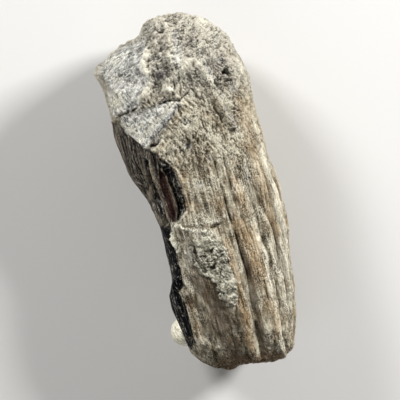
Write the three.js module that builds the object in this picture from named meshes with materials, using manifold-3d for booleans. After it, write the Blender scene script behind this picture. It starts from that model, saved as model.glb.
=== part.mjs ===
// Fossil ichthyosaur tooth: the stout root, broken off below its crown, lying on its back.
//
// The root is one solid. Its coat of cementum is drawn into flutes along its length, rough and pitted
// towards the crown end, and gone along the left flank, where the dark dentine lies bare. Beside that edge
// the coat is broken through into a hollow. A crust of rock still clings to the face below it, and a chalky
// nodule to the flank near the base.
//
// Frame, in millimetres: +Y runs along the root to its crown end, +X to the right of the face, +Z up out of
// the face. The tooth lies on Z = 0, with the origin under the middle of its box.
import * as THREE from "three";
import { mergeVertices } from "three/addons/utils/BufferGeometryUtils.js";
import Module from "manifold-3d";

const wasm = await Module();
wasm.setup();

// Driving dimensions of the root.
const HALF_WIDTH = 7.0;
const HALF_LENGTH = 17.0;
const FACE_HEIGHT = 7.05; // from the widest level up to the face
const BACK_DEPTH = 7.0; // from the widest level down to the back, before wear
const WORN_DEPTH = 0.35; // worn off the back, which leaves the flat that the tooth lies on
const SECTION_POWER = 2.6; // 2 is an ellipse, more is squarer
const END_POWER = 4.6; // how square the ends are along the length

// Facets of the solid.
const COLUMNS = 78; // round the section
const ROWS = 60; // from the base to the crown end
const CROWDING = 0.45; // how much closer the columns stand on the face than on the back
const NODULE_COLUMNS = 14;
const NODULE_ROWS = 9;

// Outline of the root seen from above its face, clockwise from the nub at the left of the crown end.
const OUTLINE = [
  [-7.12, 13.6], [-6.95, 14.0], [-6.3, 14.27], [-5.7, 14.75], [-4.75, 15.1], [-4.2, 15.42], [-3.5, 15.37],
  [-2.6, 15.38], [-2.15, 15.85], [-1.7, 16.4], [-1.35, 16.85], [-0.9, 17.0], [0, 17.05], [0.7, 16.93],
  [2.0, 16.78], [2.9, 16.35], [3.5, 16.27], [4.4, 15.75], [5.1, 15.0], [5.7, 14.1], [6.2, 13.0],
  [6.6, 11.5], [6.85, 9.5], [6.82, 8.0], [6.58, 6.2], [6.67, 4.0], [6.87, 1.0], [7.02, -2.0],
  [6.95, -4.0], [6.7, -6.0], [6.4, -8.2], [6.12, -10.0], [5.98, -11.5], [5.6, -12.9], [5.0, -14.6],
  [4.5, -16.1], [4.2, -16.5], [3.35, -16.87], [2.5, -17.0], [1.0, -16.97], [0, -16.75], [-1.0, -16.6],
  [-2.1, -16.72], [-3.0, -16.35], [-4.2, -15.75], [-5.0, -15.0], [-5.5, -14.0], [-5.75, -13.0],
  [-5.95, -11.5], [-6.05, -10.0], [-5.95, -8.7], [-5.4, -7.5], [-5.1, -6.0], [-5.05, -4.0],
  [-5.1, -2.0], [-5.35, 0.3], [-6.0, 2.1], [-6.65, 3.6], [-6.95, 5.0], [-7.0, 7.2], [-6.85, 9.5],
  [-6.62, 12.0], [-7.0, 13.1],
];

// Flutes of the face: the line of each groove from crown end to base, its width and depth.
const FACE_FLUTES = [
  { line: [[1.45, 2.6], [1.5, -2.4], [1.7, -5.2], [1.8, -8.0], [1.6, -12.0], [1.2, -17.2]],
    width: 0.8, depth: 0.55 },
  { line: [[2.5, 3.0], [2.55, -1.5], [2.7, -3.6]], width: 0.6, depth: 0.25 },
  { line: [[4.1, -1.0], [4.2, -6.0], [4.3, -9.0], [4.0, -12.0], [3.55, -16.6]], width: 0.65, depth: 0.4 },
  { line: [[4.7, 1.5], [4.95, -2.5], [5.3, -6.0], [5.1, -12.0], [4.4, -15.5]], width: 0.6, depth: 0.4 },
  { line: [[5.8, 2.2], [5.95, -2.5], [6.1, -6.0], [5.75, -10.5], [5.2, -14.0]], width: 0.5, depth: 0.32 },
];

// Flutes of the flanks and back: the side that each faces, in degrees from +X round over the face, at the
// crown end and at the base, where each starts along Y, and its depth.
const SIDE_FLUTES = [
  { from: 21, to: 17, start: 4.5, depth: 0.4 },
  { from: 6, to: 4, start: 6.0, depth: 0.5 },
  { from: -8, to: -12, start: 3.0, depth: 0.45 },
  { from: -24, to: -25, start: 7.0, depth: 0.5 },
  { from: -39, to: -43, start: 4.0, depth: 0.5 },
  { from: -55, to: -60, start: 5.5, depth: 0.4 },
  { from: -124, to: -120, start: 4.5, depth: 0.45 },
  { from: -139, to: -136, start: 6.5, depth: 0.5 },
  { from: -152, to: -151, start: 3.5, depth: 0.45 },
  { from: -166, to: -168, start: 2.0, depth: 0.3 },
  { from: 178, to: 176, start: 1.0, depth: 0.25 },
];
const SIDE_FLUTE_WIDTH = 0.95;
const FLUTE_FADE = 4.5; // length over which a flute dies out towards the crown end

// Broad worn hollows of the face: beside the first flute, and the smooth strip down its left half.
const HOLLOWS = [
  { line: [[2.0, -3.5], [2.2, -7.0], [2.1, -12.0], [1.8, -17.0]], width: 1.2, depth: 0.3 },
  { line: [[-1.7, -6.5], [-1.6, -11.0], [-1.3, -17.0]], width: 2.6, depth: 0.24 },
];

// Ridges that stand up out of the face: the ribs between the flutes, the steep edges of the rough crown
// part, the lip of the bare flank and the streaks of the lower broken facet.
const RIDGES = [
  { line: [[-1.7, 14.2], [-2.4, 13.0], [-2.6, 12.2], [-2.2, 11.3], [-3.0, 10.5], [-3.6, 9.7]],
    width: 0.7, height: 0.3 },
  { line: [[-1.0, 10.4], [0, 11.0], [2.0, 12.2], [2.5, 11.5], [3.0, 9.6], [3.2, 8.0], [4.3, 5.0]],
    width: 0.8, height: 0.4 },
  { line: [[0.3, 16.6], [0.45, 15.0], [0.2, 13.4], [-0.4, 12.7]], width: 0.8, height: 0.35 },
  { line: [[-4.6, 6.2], [-2.6, 7.5], [-0.5, 8.6]], width: 0.5, height: 0.2 },
  { line: [[0.65, -5.2], [0.7, -9.0], [0.6, -13.0], [0.45, -16.5]], width: 0.8, height: 0.22 },
  { line: [[3.4, -5.0], [3.6, -9.0], [3.3, -12.0], [3.1, -16.0]], width: 0.8, height: 0.25 },
  { line: [[-4.0, -2.4], [-4.0, -8.0], [-4.1, -12.8]], width: 0.6, height: 0.18 },
];

// Regions of the face, each an outline in X, Y.
const UPPER_BREAK = [
  [-7.2, 9.1], [-6.8, 13.0], [-6.3, 14.6], [-4.8, 15.9], [-2.6, 15.9], [-1.7, 14.4], [-2.4, 13.0],
  [-2.6, 12.2], [-2.2, 11.3], [-3.0, 10.6], [-3.6, 10.1], [-3.8, 9.1],
];
const LOWER_BREAK = [
  [-6.0, 8.85], [-0.2, 8.85], [-0.9, 7.8], [-2.3, 6.7], [-3.2, 6.0], [-4.3, 5.3], [-5.3, 6.5], [-6.0, 7.6],
];
const BARE_FLANK = [
  [-9.0, 8.7], [-6.4, 8.6], [-6.0, 7.2], [-5.3, 6.5], [-4.5, 5.4], [-3.5, 4.6], [-3.9, 2.5], [-3.95, -1.8],
  [-4.25, -3.0], [-4.25, -7.9], [-4.85, -8.3], [-4.75, -13.4], [-5.2, -14.1], [-9.0, -14.1],
];
const CRUST = [
  [-3.9, -2.3], [-3.3, -2.2], [-2.8, -2.6], [-2.0, -3.1], [-0.7, -3.3], [-0.3, -4.3], [0.6, -5.6],
  [0.7, -6.4], [0.3, -7.2], [0.8, -9.0], [0.1, -10.9], [-0.6, -10.7], [-1.1, -9.7], [-1.0, -8.5],
  [-2.1, -7.0], [-3.2, -6.0], [-3.5, -4.0],
];
const BREAK_SLOPE = 0.38; // fall of the broken facets towards the left, for each millimetre across
const UPPER_BREAK_LEVEL = 13.0; // height of the upper facet along its right edge
const LOWER_BREAK_LEVEL = 13.25;
const BREAK_EDGE_X = -2.6;
const COAT_THICKNESS = 0.45;
const CRUST_THICKNESS = 0.4;
const CRUST_LUMP = 0.22; // how far the lumps of the crust stand out of it or sink into it
const CROWN_LEDGE = 0.14; // height of the ledges across the rough crown part
const EDGE = 0.35; // how far a ledge takes to fall
const BACK_BLUR = 0.16; // bearing, in radians, over which the back evens out the outline
const BACK_SHRINK = 0.985;

// Pits of the face: centre, half-sizes and depth. A negative depth is a bump.
const PITS = [
  { at: [-1.3, 11.6], half: [1.0, 1.4], depth: 0.6 },
  { at: [-1.9, 10.6], half: [0.9, 0.5], depth: 0.3 },
  { at: [-1.0, 9.9], half: [1.2, 0.6], depth: -0.3 },
  { at: [-1.6, 4.7], half: [0.9, 0.7], depth: -0.35 },
  { at: [4.8, 10.2], half: [0.55, 0.7], depth: 0.7 },
  { at: [3.7, 9.4], half: [0.7, 0.6], depth: 0.4 },
  { at: [5.2, 8.6], half: [0.9, 1.2], depth: 0.3 },
  { at: [4.6, 11.5], half: [0.7, 0.6], depth: 0.3 },
  { at: [1.2, 9.6], half: [1.2, 2.2], depth: 0.35 },
  { at: [2.1, 14.8], half: [1.2, 0.8], depth: 0.25 },
  { at: [4.4, 12.9], half: [1.1, 0.7], depth: 0.22 },
  { at: [4.4, 14.7], half: [1.0, 0.6], depth: 0.3 },
  { at: [4.0, 7.0], half: [0.7, 1.1], depth: 0.22 },
  { at: [-0.5, 4.6], half: [0.7, 0.8], depth: 0.22 },
  { at: [1.8, 5.6], half: [0.7, 0.7], depth: 0.18 },
];

// Cuts made through the coat.
const WINDOW = [
  [-3.9, 2.6], [-3.7, 3.8], [-3.3, 4.2], [-2.7, 3.6], [-2.3, 3.0], [-2.1, 2.2], [-2.0, 0.5], [-1.95, -0.3],
  [-2.2, -0.9], [-2.5, -1.5], [-3.0, -1.95], [-3.4, -2.1], [-3.85, -1.7],
];
const WINDOW_FLOOR = 10.3;
const GROOVE = [[-4.8, 4.0], [-4.35, 3.9], [-4.3, -1.9], [-4.75, -2.0]];
const GROOVE_FLOOR = 10.6;
const SLIT = [[-5.0, -8.2], [-4.85, -8.2], [-4.4, -13.4], [-4.95, -13.6]];
const SLIT_FLOOR = 8.6;
const UPPER_CRACK = [
  [-6.3, 8.95], [-5.7, 8.99], [-5.2, 9.05], [-4.1, 9.06], [-4.1, 8.94], [-4.7, 8.9], [-5.7, 8.8],
  [-6.2, 8.85],
];
const CRACK_FLOOR = 10.6;
const ABOVE_FACE = 16;

// The recess in the base, where the pulp canal of the root is choked with rock.
const CANAL = { x: 0.2, z: 6.4, halfX: 2.4, halfZ: 2.0, depth: 0.9 };

// The chalky nodule on the left flank.
const NODULE = { x: -5.3, y: -12.4, z: 4.6, halfX: 1.22, halfY: 1.4, halfZ: 1.9 };

// 0 below the low value and 1 above the high one, with a soft step between.
const smooth = (low, high, value) => THREE.MathUtils.smoothstep(value, low, high);

// 1 at the middle of a groove, dent or bump, falling smoothly to 0 at the reach.
const bell = (distance, reach) => Math.cos((Math.PI / 2) * Math.min(1, distance / reach)) ** 2;

// How far (x, y) lies from a line of points.
function offLine(line, x, y) {
  let nearest = Infinity;
  for (let i = 1; i < line.length; i++) {
    const [ax, ay] = line[i - 1];
    const [bx, by] = line[i];
    const share = ((x - ax) * (bx - ax) + (y - ay) * (by - ay)) / ((bx - ax) ** 2 + (by - ay) ** 2);
    const t = THREE.MathUtils.clamp(share, 0, 1);
    nearest = Math.min(nearest, Math.hypot(x - ax - t * (bx - ax), y - ay - t * (by - ay)));
  }
  return nearest;
}

// How far (x, y) lies inside a closed outline, negative outside it.
function depthInside(outline, x, y) {
  let inside = false;
  outline.forEach(([ax, ay], i) => {
    const [bx, by] = outline[(i + 1) % outline.length];
    if (ay > y !== by > y && x < ax + ((y - ay) / (by - ay)) * (bx - ax)) inside = !inside;
  });
  const off = offLine([...outline, outline[0]], x, y);
  return inside ? off : -off;
}

// 1 within a closed outline and 0 outside it, with a soft edge.
const region = (outline, x, y) => smooth(-EDGE / 2, EDGE / 2, depthInside(outline, x, y));

// How far out (a, b) lies, where a squared oval of the given power has its rim at 1.
function squaredReach(a, b, power) {
  return (Math.abs(a) ** power + Math.abs(b) ** power) ** (1 / power);
}

// The outline as a radius against the plain squared oval, by the bearing from +Y.
const KNOTS = OUTLINE.map(([x, y]) => ({
  bearing: Math.atan2(x / HALF_WIDTH, y / HALF_LENGTH),
  radius: squaredReach(x / HALF_WIDTH, y / HALF_LENGTH, END_POWER),
})).sort((a, b) => a.bearing - b.bearing);

const FULL_TURN = 2 * Math.PI;

// The knots once round, with one more at each end, so that every bearing lies between two of them.
const AROUND = [
  { ...KNOTS.at(-1), bearing: KNOTS.at(-1).bearing - FULL_TURN },
  ...KNOTS,
  { ...KNOTS[0], bearing: KNOTS[0].bearing + FULL_TURN },
];

// The outline's radius at a bearing, in radians from +Y.
function outlineRadius(bearing) {
  const wrapped = THREE.MathUtils.euclideanModulo(bearing + Math.PI, FULL_TURN) - Math.PI;
  const i = AROUND.findIndex((knot) => knot.bearing > wrapped);
  const { bearing: start, radius: from } = AROUND[i - 1];
  const { bearing: end, radius: to } = AROUND[i];
  return THREE.MathUtils.mapLinear(wrapped, start, end, from, to);
}

// The back follows the outline only roughly, and a little inside it.
function backRadius(bearing) {
  const steps = [-1, -0.5, 0, 0.5, 1];
  const sum = steps.reduce((total, step) => total + outlineRadius(bearing + step * BACK_BLUR), 0);
  return (sum / steps.length) * BACK_SHRINK;
}

// Half the profile along the length, from the base to the crown end, with even steps along it.
class Profile extends THREE.Curve {
  getPoint(t, target = new THREE.Vector2()) {
    const turn = Math.PI * (t - 0.5);
    const along = Math.sign(turn) * Math.abs(Math.sin(turn)) ** (2 / END_POWER);
    const across = Math.max(0, 1 - Math.abs(along) ** END_POWER) ** (1 / END_POWER);
    return target.set(across * HALF_WIDTH, along * HALF_LENGTH);
  }
}
const PROFILE = new Profile();
PROFILE.arcLengthDivisions = 2000;
const PROFILE_POINTS = PROFILE.getSpacedPoints(ROWS);

// The plain form: a squared section, tapering to both ends, stretched to the outline.
function plainForm(turn, row) {
  const across = PROFILE_POINTS[row].x / HALF_WIDTH;
  const along = PROFILE_POINTS[row].y / HALF_LENGTH;
  const c = Math.cos(turn);
  const s = Math.sin(turn);
  const section = squaredReach(c, s, SECTION_POWER);
  const x = (across * c) / section;
  const z = (across * s) / section;
  const spread = squaredReach(x, along, END_POWER);
  const bearing = Math.atan2(x, along);
  const radius = THREE.MathUtils.lerp(backRadius(bearing), outlineRadius(bearing), smooth(-0.55, -0.1, z));
  const stretch = 1 + (radius - 1) * spread;
  const y = along * stretch * HALF_LENGTH;
  const taper = 1 - 0.09 * ((y - 3) / HALF_LENGTH) ** 2;
  return [x * stretch * HALF_WIDTH, y, z * (z > 0 ? FACE_HEIGHT : BACK_DEPTH) * taper];
}

// The angle of a column round the section, from +X over the face. share runs from 0 to 1 round it.
function columnTurn(share) {
  let turn = FULL_TURN * share;
  for (let step = 0; step < 8; step++) {
    const miss = turn + CROWDING * (1 - Math.cos(turn)) - FULL_TURN * share;
    turn -= miss / (1 + CROWDING * Math.sin(turn));
  }
  return turn;
}

// Broad unevenness of a weathered surface.
function lumps(x, y, z) {
  return (
    0.16 * Math.sin(1.1 * x + 0.7 * y + 0.5) * Math.sin(0.9 * z - 0.45 * y + 1.3) +
    0.12 * Math.sin(2.1 * x - 0.8 * z + 0.4 * y) * Math.sin(0.85 * y + 1.2 * z + 2.0)
  );
}

// Depth of the flutes round the flanks and back.
function sideFlutes(x, y, z) {
  const radius = Math.hypot(x, z);
  const side = THREE.MathUtils.radToDeg(Math.atan2(z, x));
  let depth = 0;
  for (const flute of SIDE_FLUTES) {
    const centre = THREE.MathUtils.mapLinear(y, flute.start, -HALF_LENGTH, flute.from, flute.to);
    const off = Math.abs(THREE.MathUtils.euclideanModulo(side - centre + 180, 360) - 180);
    const run = 1 - smooth(flute.start - FLUTE_FADE, flute.start, y);
    depth += run * flute.depth * bell(THREE.MathUtils.degToRad(off) * radius, SIDE_FLUTE_WIDTH);
  }
  return depth * smooth(3.0, 5.2, radius);
}

// Ledges across the rough crown part, which die out down the face.
function ledges(x, y) {
  const wander = Math.sin(1.3 * x + 0.4) + 0.6 * Math.sin(2.9 * x - 0.7 * y);
  return CROWN_LEDGE * smooth(3, 12, y) * Math.sin(2.6 * y + 0.8 * x + wander);
}

// Lumps of the rock crust, 1 at the highest and -1 at the lowest.
const crustLumps = (x, y) => Math.sin(3.4 * x + 1.2 * y + 0.6) * Math.sin(2.7 * y - 1.3 * x + 1.1);

// Height of the relief at a point of the plain form, along its normal, where up is 1 on the face and -1 on
// the back.
function relief(x, y, z, up) {
  const face = smooth(0.05, 0.35, up);
  let height = lumps(x, y, z) + smooth(0.4, 0.8, up) * ledges(x, y);
  for (const { line, width, depth } of [...FACE_FLUTES, ...HOLLOWS])
    height -= face * depth * bell(offLine(line, x, y), width);
  for (const { line, width, height: rise } of RIDGES)
    height += face * rise * bell(offLine(line, x, y), width);
  for (const { at, half, depth } of PITS)
    height -= face * depth * bell(Math.hypot((x - at[0]) / half[0], (y - at[1]) / half[1]), 1);
  height -= (1 - face * 0.8) * sideFlutes(x, y, z);
  const flank = smooth(-0.75, -0.45, up) * smooth(0, 0.35, Math.abs(up));
  height -= flank * COAT_THICKNESS * region(BARE_FLANK, x, y);
  height += face * region(CRUST, x, y) * (CRUST_THICKNESS + CRUST_LUMP * crustLumps(x, y));
  return height;
}

// The root as one facetted solid: the plain form, its relief, the broken facets and the worn flat.
function root() {
  const geometry = new THREE.SphereGeometry(1, COLUMNS, ROWS);
  const place = geometry.getAttribute("position");
  for (let i = 0; i < place.count; i++) {
    const row = ROWS - Math.floor(i / (COLUMNS + 1));
    const column = COLUMNS - (i % (COLUMNS + 1));
    place.setXYZ(i, ...plainForm(columnTurn((column % COLUMNS) / COLUMNS), row));
  }
  const form = merged(geometry);
  form.computeVertexNormals();
  const normal = form.getAttribute("normal");
  const points = form.getAttribute("position");
  const level = BACK_DEPTH - WORN_DEPTH;
  for (let i = 0; i < points.count; i++) {
    const at = new THREE.Vector3().fromBufferAttribute(points, i);
    const out = new THREE.Vector3().fromBufferAttribute(normal, i);
    const height = relief(at.x, at.y, at.z, out.z);
    const offCanal = Math.hypot((at.x - CANAL.x) / CANAL.halfX, (at.z + level - CANAL.z) / CANAL.halfZ);
    at.addScaledVector(out, height);
    if (out.y < -0.7) at.y += CANAL.depth * bell(offCanal, 1);
    at.z += level;
    for (const [outline, edge] of [[UPPER_BREAK, UPPER_BREAK_LEVEL], [LOWER_BREAK, LOWER_BREAK_LEVEL]]) {
      const facet = edge + (at.x - BREAK_EDGE_X) * BREAK_SLOPE;
      if (out.z > 0) at.z -= Math.max(0, at.z - facet) * region(outline, at.x, at.y);
    }
    points.setXYZ(i, at.x, at.y, Math.max(0, at.z));
  }
  return form;
}

// A geometry with only its places, each shared by the facets that meet there.
function merged(geometry) {
  const plain = geometry.clone();
  plain.deleteAttribute("normal");
  plain.deleteAttribute("uv");
  return mergeVertices(plain, 1e-4);
}

// A closed geometry as a solid that can be cut and joined.
function solid(geometry) {
  const shared = merged(geometry);
  return new wasm.Manifold(
    new wasm.Mesh({
      numProp: 3,
      vertProperties: shared.getAttribute("position").array,
      triVerts: new Uint32Array(shared.getIndex().array),
    }),
  );
}

// A straight cut down into the face, of the given outline, to the given level.
function cut(outline, floor) {
  const shape = new THREE.Shape(outline.map(([x, y]) => new THREE.Vector2(x, y)));
  const prism = new THREE.ExtrudeGeometry(shape, { depth: ABOVE_FACE - floor, bevelEnabled: false });
  return solid(prism.translate(0, 0, floor));
}

// The nodule, an egg-shaped lump sunk into the flank.
function nodule() {
  const ball = new THREE.SphereGeometry(1, NODULE_COLUMNS, NODULE_ROWS);
  ball.scale(NODULE.halfX, NODULE.halfY, NODULE.halfZ);
  return solid(ball.translate(NODULE.x, NODULE.y, NODULE.z));
}

const carved = solid(root())
  .subtract(cut(WINDOW, WINDOW_FLOOR))
  .subtract(cut(GROOVE, GROOVE_FLOOR))
  .subtract(cut(SLIT, SLIT_FLOOR))
  .subtract(cut(UPPER_CRACK, CRACK_FLOOR))
  .add(nodule());

const mesh = carved.getMesh();
const toothGeometry = new THREE.BufferGeometry();
toothGeometry.setAttribute("position", new THREE.BufferAttribute(mesh.vertProperties, 3));
toothGeometry.setIndex(new THREE.BufferAttribute(mesh.triVerts, 1));
toothGeometry.computeBoundingBox();
const middle = toothGeometry.boundingBox.getCenter(new THREE.Vector3());
toothGeometry.translate(-middle.x, -middle.y, -toothGeometry.boundingBox.min.z);
toothGeometry.computeVertexNormals();

const weatheredRoot = new THREE.MeshStandardMaterial({ color: 0x9a8c74, roughness: 0.85, metalness: 0 });
const tooth = new THREE.Mesh(toothGeometry, weatheredRoot);
tooth.name = "tooth";

const specimen = new THREE.Group();
specimen.add(tooth);

export default specimen;
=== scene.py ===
"""Looks of a fossil ichthyosaur tooth: a stout fluted root lying on its back, seen from above."""
import logging
import math
from dataclasses import dataclass
from enum import Enum
from typing import Union

import bmesh
import bpy
import numpy as np
from mathutils import Matrix, Vector
from mathutils.bvhtree import BVHTree


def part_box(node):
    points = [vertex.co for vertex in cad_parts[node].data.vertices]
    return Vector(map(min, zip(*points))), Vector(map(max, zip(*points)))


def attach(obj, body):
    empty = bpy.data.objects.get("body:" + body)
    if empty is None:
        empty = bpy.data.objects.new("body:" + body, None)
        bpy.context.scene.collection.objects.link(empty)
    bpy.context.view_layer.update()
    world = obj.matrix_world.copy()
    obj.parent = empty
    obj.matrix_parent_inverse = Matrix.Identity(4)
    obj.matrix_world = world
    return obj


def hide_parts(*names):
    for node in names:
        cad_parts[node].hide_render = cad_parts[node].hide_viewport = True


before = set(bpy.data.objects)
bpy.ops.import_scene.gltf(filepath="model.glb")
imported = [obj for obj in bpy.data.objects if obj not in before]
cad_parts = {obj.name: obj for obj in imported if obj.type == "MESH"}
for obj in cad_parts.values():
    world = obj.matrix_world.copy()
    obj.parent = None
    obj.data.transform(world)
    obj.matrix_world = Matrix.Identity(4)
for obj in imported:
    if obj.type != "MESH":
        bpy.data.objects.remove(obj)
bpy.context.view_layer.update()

NODE = "tooth"
MM = 0.001

Array = np.ndarray
Point = tuple[float, float]
Line = tuple[Point, ...]
Size = tuple[float, float, float]
Material = bpy.types.Material
Mesh = bpy.types.Mesh
Node = bpy.types.Node
NodeTree = bpy.types.NodeTree
Object = bpy.types.Object
Socket = bpy.types.NodeSocket
Colour = tuple[float, float, float]
Input = Union[Socket, float, Colour]

log = logging.getLogger("tooth")


# ---------------------------------------- shape helpers

def smooth(low: float, high: float, value: Array) -> Array:
    """Eases from 0 at low to 1 at high.

    Args:
        low: where the step starts.
        high: where it ends.
        value: the numbers to ease.

    Returns:
        The eased numbers.
    """
    share = np.clip((value - low) / (high - low), 0.0, 1.0)
    return share * share * (3.0 - 2.0 * share)


def bell(distance: Array, reach: float) -> Array:
    """Gives a rounded hump, 1 in the middle and 0 from reach outwards."""
    return np.cos(np.pi / 2 * np.clip(distance / reach, 0.0, 1.0)) ** 2


def blend(low: Array, high: Array, share: Array) -> Array:
    """Mixes two sets of numbers by share, which is 0 for all of low."""
    return low + (high - low) * share


def unit(values: Array) -> Array:
    """Keeps numbers in 0 to 1."""
    return np.clip(values, 0, 1)


def turned(degrees: float) -> Array:
    """Gives the matrix that reads points along an X axis turned by so many degrees over the face."""
    c, s = math.cos(math.radians(degrees)), math.sin(math.radians(degrees))
    return np.array([[c, -s, 0.0], [s, c, 0.0], [0.0, 0.0, 1.0]])


class Noise:
    """Seeded noise and cells over points, one to a row. Points and feature sizes are in millimetres."""

    ENTRIES = 256
    LAYER_SHIFT = 17.3
    CREST_SHIFT = 23.1

    def __init__(self, seed: int) -> None:
        """Draws the random directions.

        Args:
            seed: the number that fixes the draw.
        """
        draw = np.random.default_rng(seed)
        order = draw.permutation(self.ENTRIES)
        self.order = np.concatenate([order, order, order])
        lean = draw.normal(size=(self.ENTRIES, 3))
        self.lean = lean / np.linalg.norm(lean, axis=1)[:, None]
        self.jitter = draw.random(size=(self.ENTRIES, 3))

    def _pick(self, cell: Array) -> Array:
        """Numbers each lattice cell with an entry of the tables."""
        low = cell.astype(int) % self.ENTRIES
        return self.order[self.order[self.order[low[:, 0]] + low[:, 1]] + low[:, 2]]

    def soft(self, points: Array, size: Size) -> Array:
        """Reads smooth noise.

        Args:
            points: where to read it.
            size: how large its features are along X, Y and Z.

        Returns:
            Numbers from about -1 to 1.
        """
        place = points / np.array(size) + 31.7
        cell = np.floor(place)
        part = place - cell
        ease = part * part * part * (part * (part * 6 - 15) + 10)
        total = np.zeros(len(points))
        for corner in np.ndindex(2, 2, 2):
            step = np.array(corner)
            weight = np.prod(np.where(step == 1, ease, 1 - ease), axis=1)
            lean = self.lean[self._pick(cell + step)]
            total += weight * np.einsum("ij,ij->i", lean, part - step)
        return total * 1.6

    def bend(self, points: Array, size: Size, shifts: tuple[int, ...]) -> Array:
        """Reads noise once for each shift of the points, one column to a shift."""
        return np.stack([self.soft(points + shift, size) for shift in shifts], axis=1)

    def layered(self, points: Array, size: Size, layers: int) -> Array:
        """Adds up smooth noise, each layer half the size of the one before.

        Args:
            points: where to read it.
            size: feature size of the first layer.
            layers: how many layers.

        Returns:
            Numbers from about -1 to 1.
        """
        total, scale = np.zeros(len(points)), np.array(size)
        for layer in range(layers):
            total += self.soft(points + self.LAYER_SHIFT * layer, tuple(scale / 2 ** layer)) / 2 ** layer
        return total / 1.4

    def crests(self, points: Array, size: Size, layers: int) -> Array:
        """Folds smooth noise into thin crests with wide hollows between, in layers.

        Args:
            points: where to read it.
            size: feature size of the first layer.
            layers: how many layers.

        Returns:
            Numbers from about -1 to 1, highest on the crests.
        """
        total, scale = np.zeros(len(points)), np.array(size)
        for layer in range(layers):
            noise = self.soft(points + self.CREST_SHIFT * layer, tuple(scale * 0.55 ** layer))
            total += 0.6 ** layer * np.clip(1 - 3.0 * np.abs(noise), -1, 1)
        return total / 1.5

    def cells(self, points: Array, size: Size) -> tuple[Array, Array]:
        """Measures how far each point is from the nearest of a scatter of seeds.

        Args:
            points: where to measure.
            size: spacing of the seeds along X, Y and Z.

        Returns:
            The distance to the nearest seed, where 1 is the spacing, and how much further the next one is.
        """
        place = points / np.array(size) + 11.3
        cell = np.floor(place)
        nearest, second = np.full((2, len(points)), 9.0)
        for corner in np.ndindex(3, 3, 3):
            there = cell + np.array(corner) - 1
            off = np.linalg.norm(place - there - self.jitter[self._pick(there)], axis=1)
            second = np.minimum(second, np.maximum(nearest, off))
            nearest = np.minimum(nearest, off)
        return nearest, second - nearest


# ---------------------------------------- drawing on the face

@dataclass(frozen=True)
class Stroke:
    """A line drawn on the face, in millimetres, with a reach to each side and a strength."""

    END_HEIGHT = 0.6

    line: Line
    width: float
    strength: float = 1.0

    def near(self, x: Array, y: Array) -> tuple[Array, Array]:
        """Finds how far points are from the line.

        Args:
            x: places across.
            y: places along.

        Returns:
            The distance, and how far along the line the nearest place is, 0 to 1.
        """
        best, share = np.full(len(x), np.inf), np.zeros(len(x))
        runs = np.cumsum([0.0] + [math.dist(a, b) for a, b in zip(self.line, self.line[1:])])
        for (ax, ay), (bx, by), run in zip(self.line, self.line[1:], runs):
            dx, dy = bx - ax, by - ay
            part = np.clip(((x - ax) * dx + (y - ay) * dy) / (dx * dx + dy * dy), 0.0, 1.0)
            off = np.hypot(x - ax - part * dx, y - ay - part * dy)
            closer = off < best
            best = np.where(closer, off, best)
            share = np.where(closer, (run + part * math.hypot(dx, dy)) / runs[-1], share)
        return best, share

    def ridge(self, x: Array, y: Array) -> Array:
        """Gives the stroke as a rounded ridge, lower at its ends.

        Args:
            x: places across.
            y: places along.

        Returns:
            The ridge's height there, at most the stroke's strength.
        """
        off, share = self.near(x, y)
        ends = smooth(0.0, 0.25, share * (1 - share) * 4)
        return self.strength * bell(off, self.width) * blend(self.END_HEIGHT, 1.0, ends)


@dataclass(frozen=True)
class Spot:
    """An oval place on the face, in millimetres: centre, half-sizes, strength and turn in degrees."""

    x: float
    y: float
    half_x: float
    half_y: float
    strength: float = 1.0
    turn: float = 0.0

    def ridge(self, x: Array, y: Array) -> Array:
        """Gives the spot as a rounded bump.

        Args:
            x: places across.
            y: places along.

        Returns:
            The bump's height there, at most the spot's strength.
        """
        c, s = math.cos(math.radians(self.turn)), math.sin(math.radians(self.turn))
        dx, dy = x - self.x, y - self.y
        off = np.hypot((c * dx + s * dy) / self.half_x, (c * dy - s * dx) / self.half_y)
        return self.strength * bell(off, 1.0)


@dataclass(frozen=True)
class Patch:
    """A closed outline on the face, in millimetres."""

    outline: Line

    def depth(self, x: Array, y: Array) -> Array:
        """Measures how far inside the outline points are.

        Args:
            x: places across.
            y: places along.

        Returns:
            The distance to the outline, negative outside.
        """
        loop = self.outline + self.outline[:1]
        inside = np.zeros(len(x), dtype=bool)
        for (ax, ay), (bx, by) in zip(loop, loop[1:]):
            if ay != by:
                inside ^= ((ay > y) != (by > y)) & (x < ax + (y - ay) / (by - ay) * (bx - ax))
        off = Stroke(loop, 1.0).near(x, y)[0]
        return np.where(inside, off, -off)

    def mask(self, x: Array, y: Array, edge: float) -> Array:
        """Gives 1 inside and 0 outside, with an edge of the given width."""
        return smooth(-edge / 2, edge / 2, self.depth(x, y))


Strokes = tuple[Stroke, ...]
Spots = tuple[Spot, ...]
Drawing = tuple[Union[Stroke, Spot], ...]


def pairs(*numbers: float) -> Line:
    """Pairs numbers up as points, X and Y in turn."""
    return tuple(zip(numbers[::2], numbers[1::2]))


def strokes(*rows: tuple[float, ...]) -> Strokes:
    """Makes strokes from rows: a width and a strength, then X and Y of each point it runs through."""
    return tuple(Stroke(pairs(*row[2:]), *row[:2]) for row in rows)


def spots(*rows: tuple[float, ...]) -> Spots:
    """Makes spots from rows: X and Y of the centre, half-sizes across and along, strength and turn."""
    return tuple(Spot(*row) for row in rows)


def strongest(marks: Drawing, x: Array, y: Array) -> Array:
    """Lays marks over each other, keeping the strongest at each point."""
    return np.max([mark.ridge(x, y) for mark in marks], axis=0)


def piled(marks: Drawing, x: Array, y: Array) -> Array:
    """Lays marks over each other, adding them up."""
    return np.sum([mark.ridge(x, y) for mark in marks], axis=0)


# ---------------------------------------- the root's form

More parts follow.
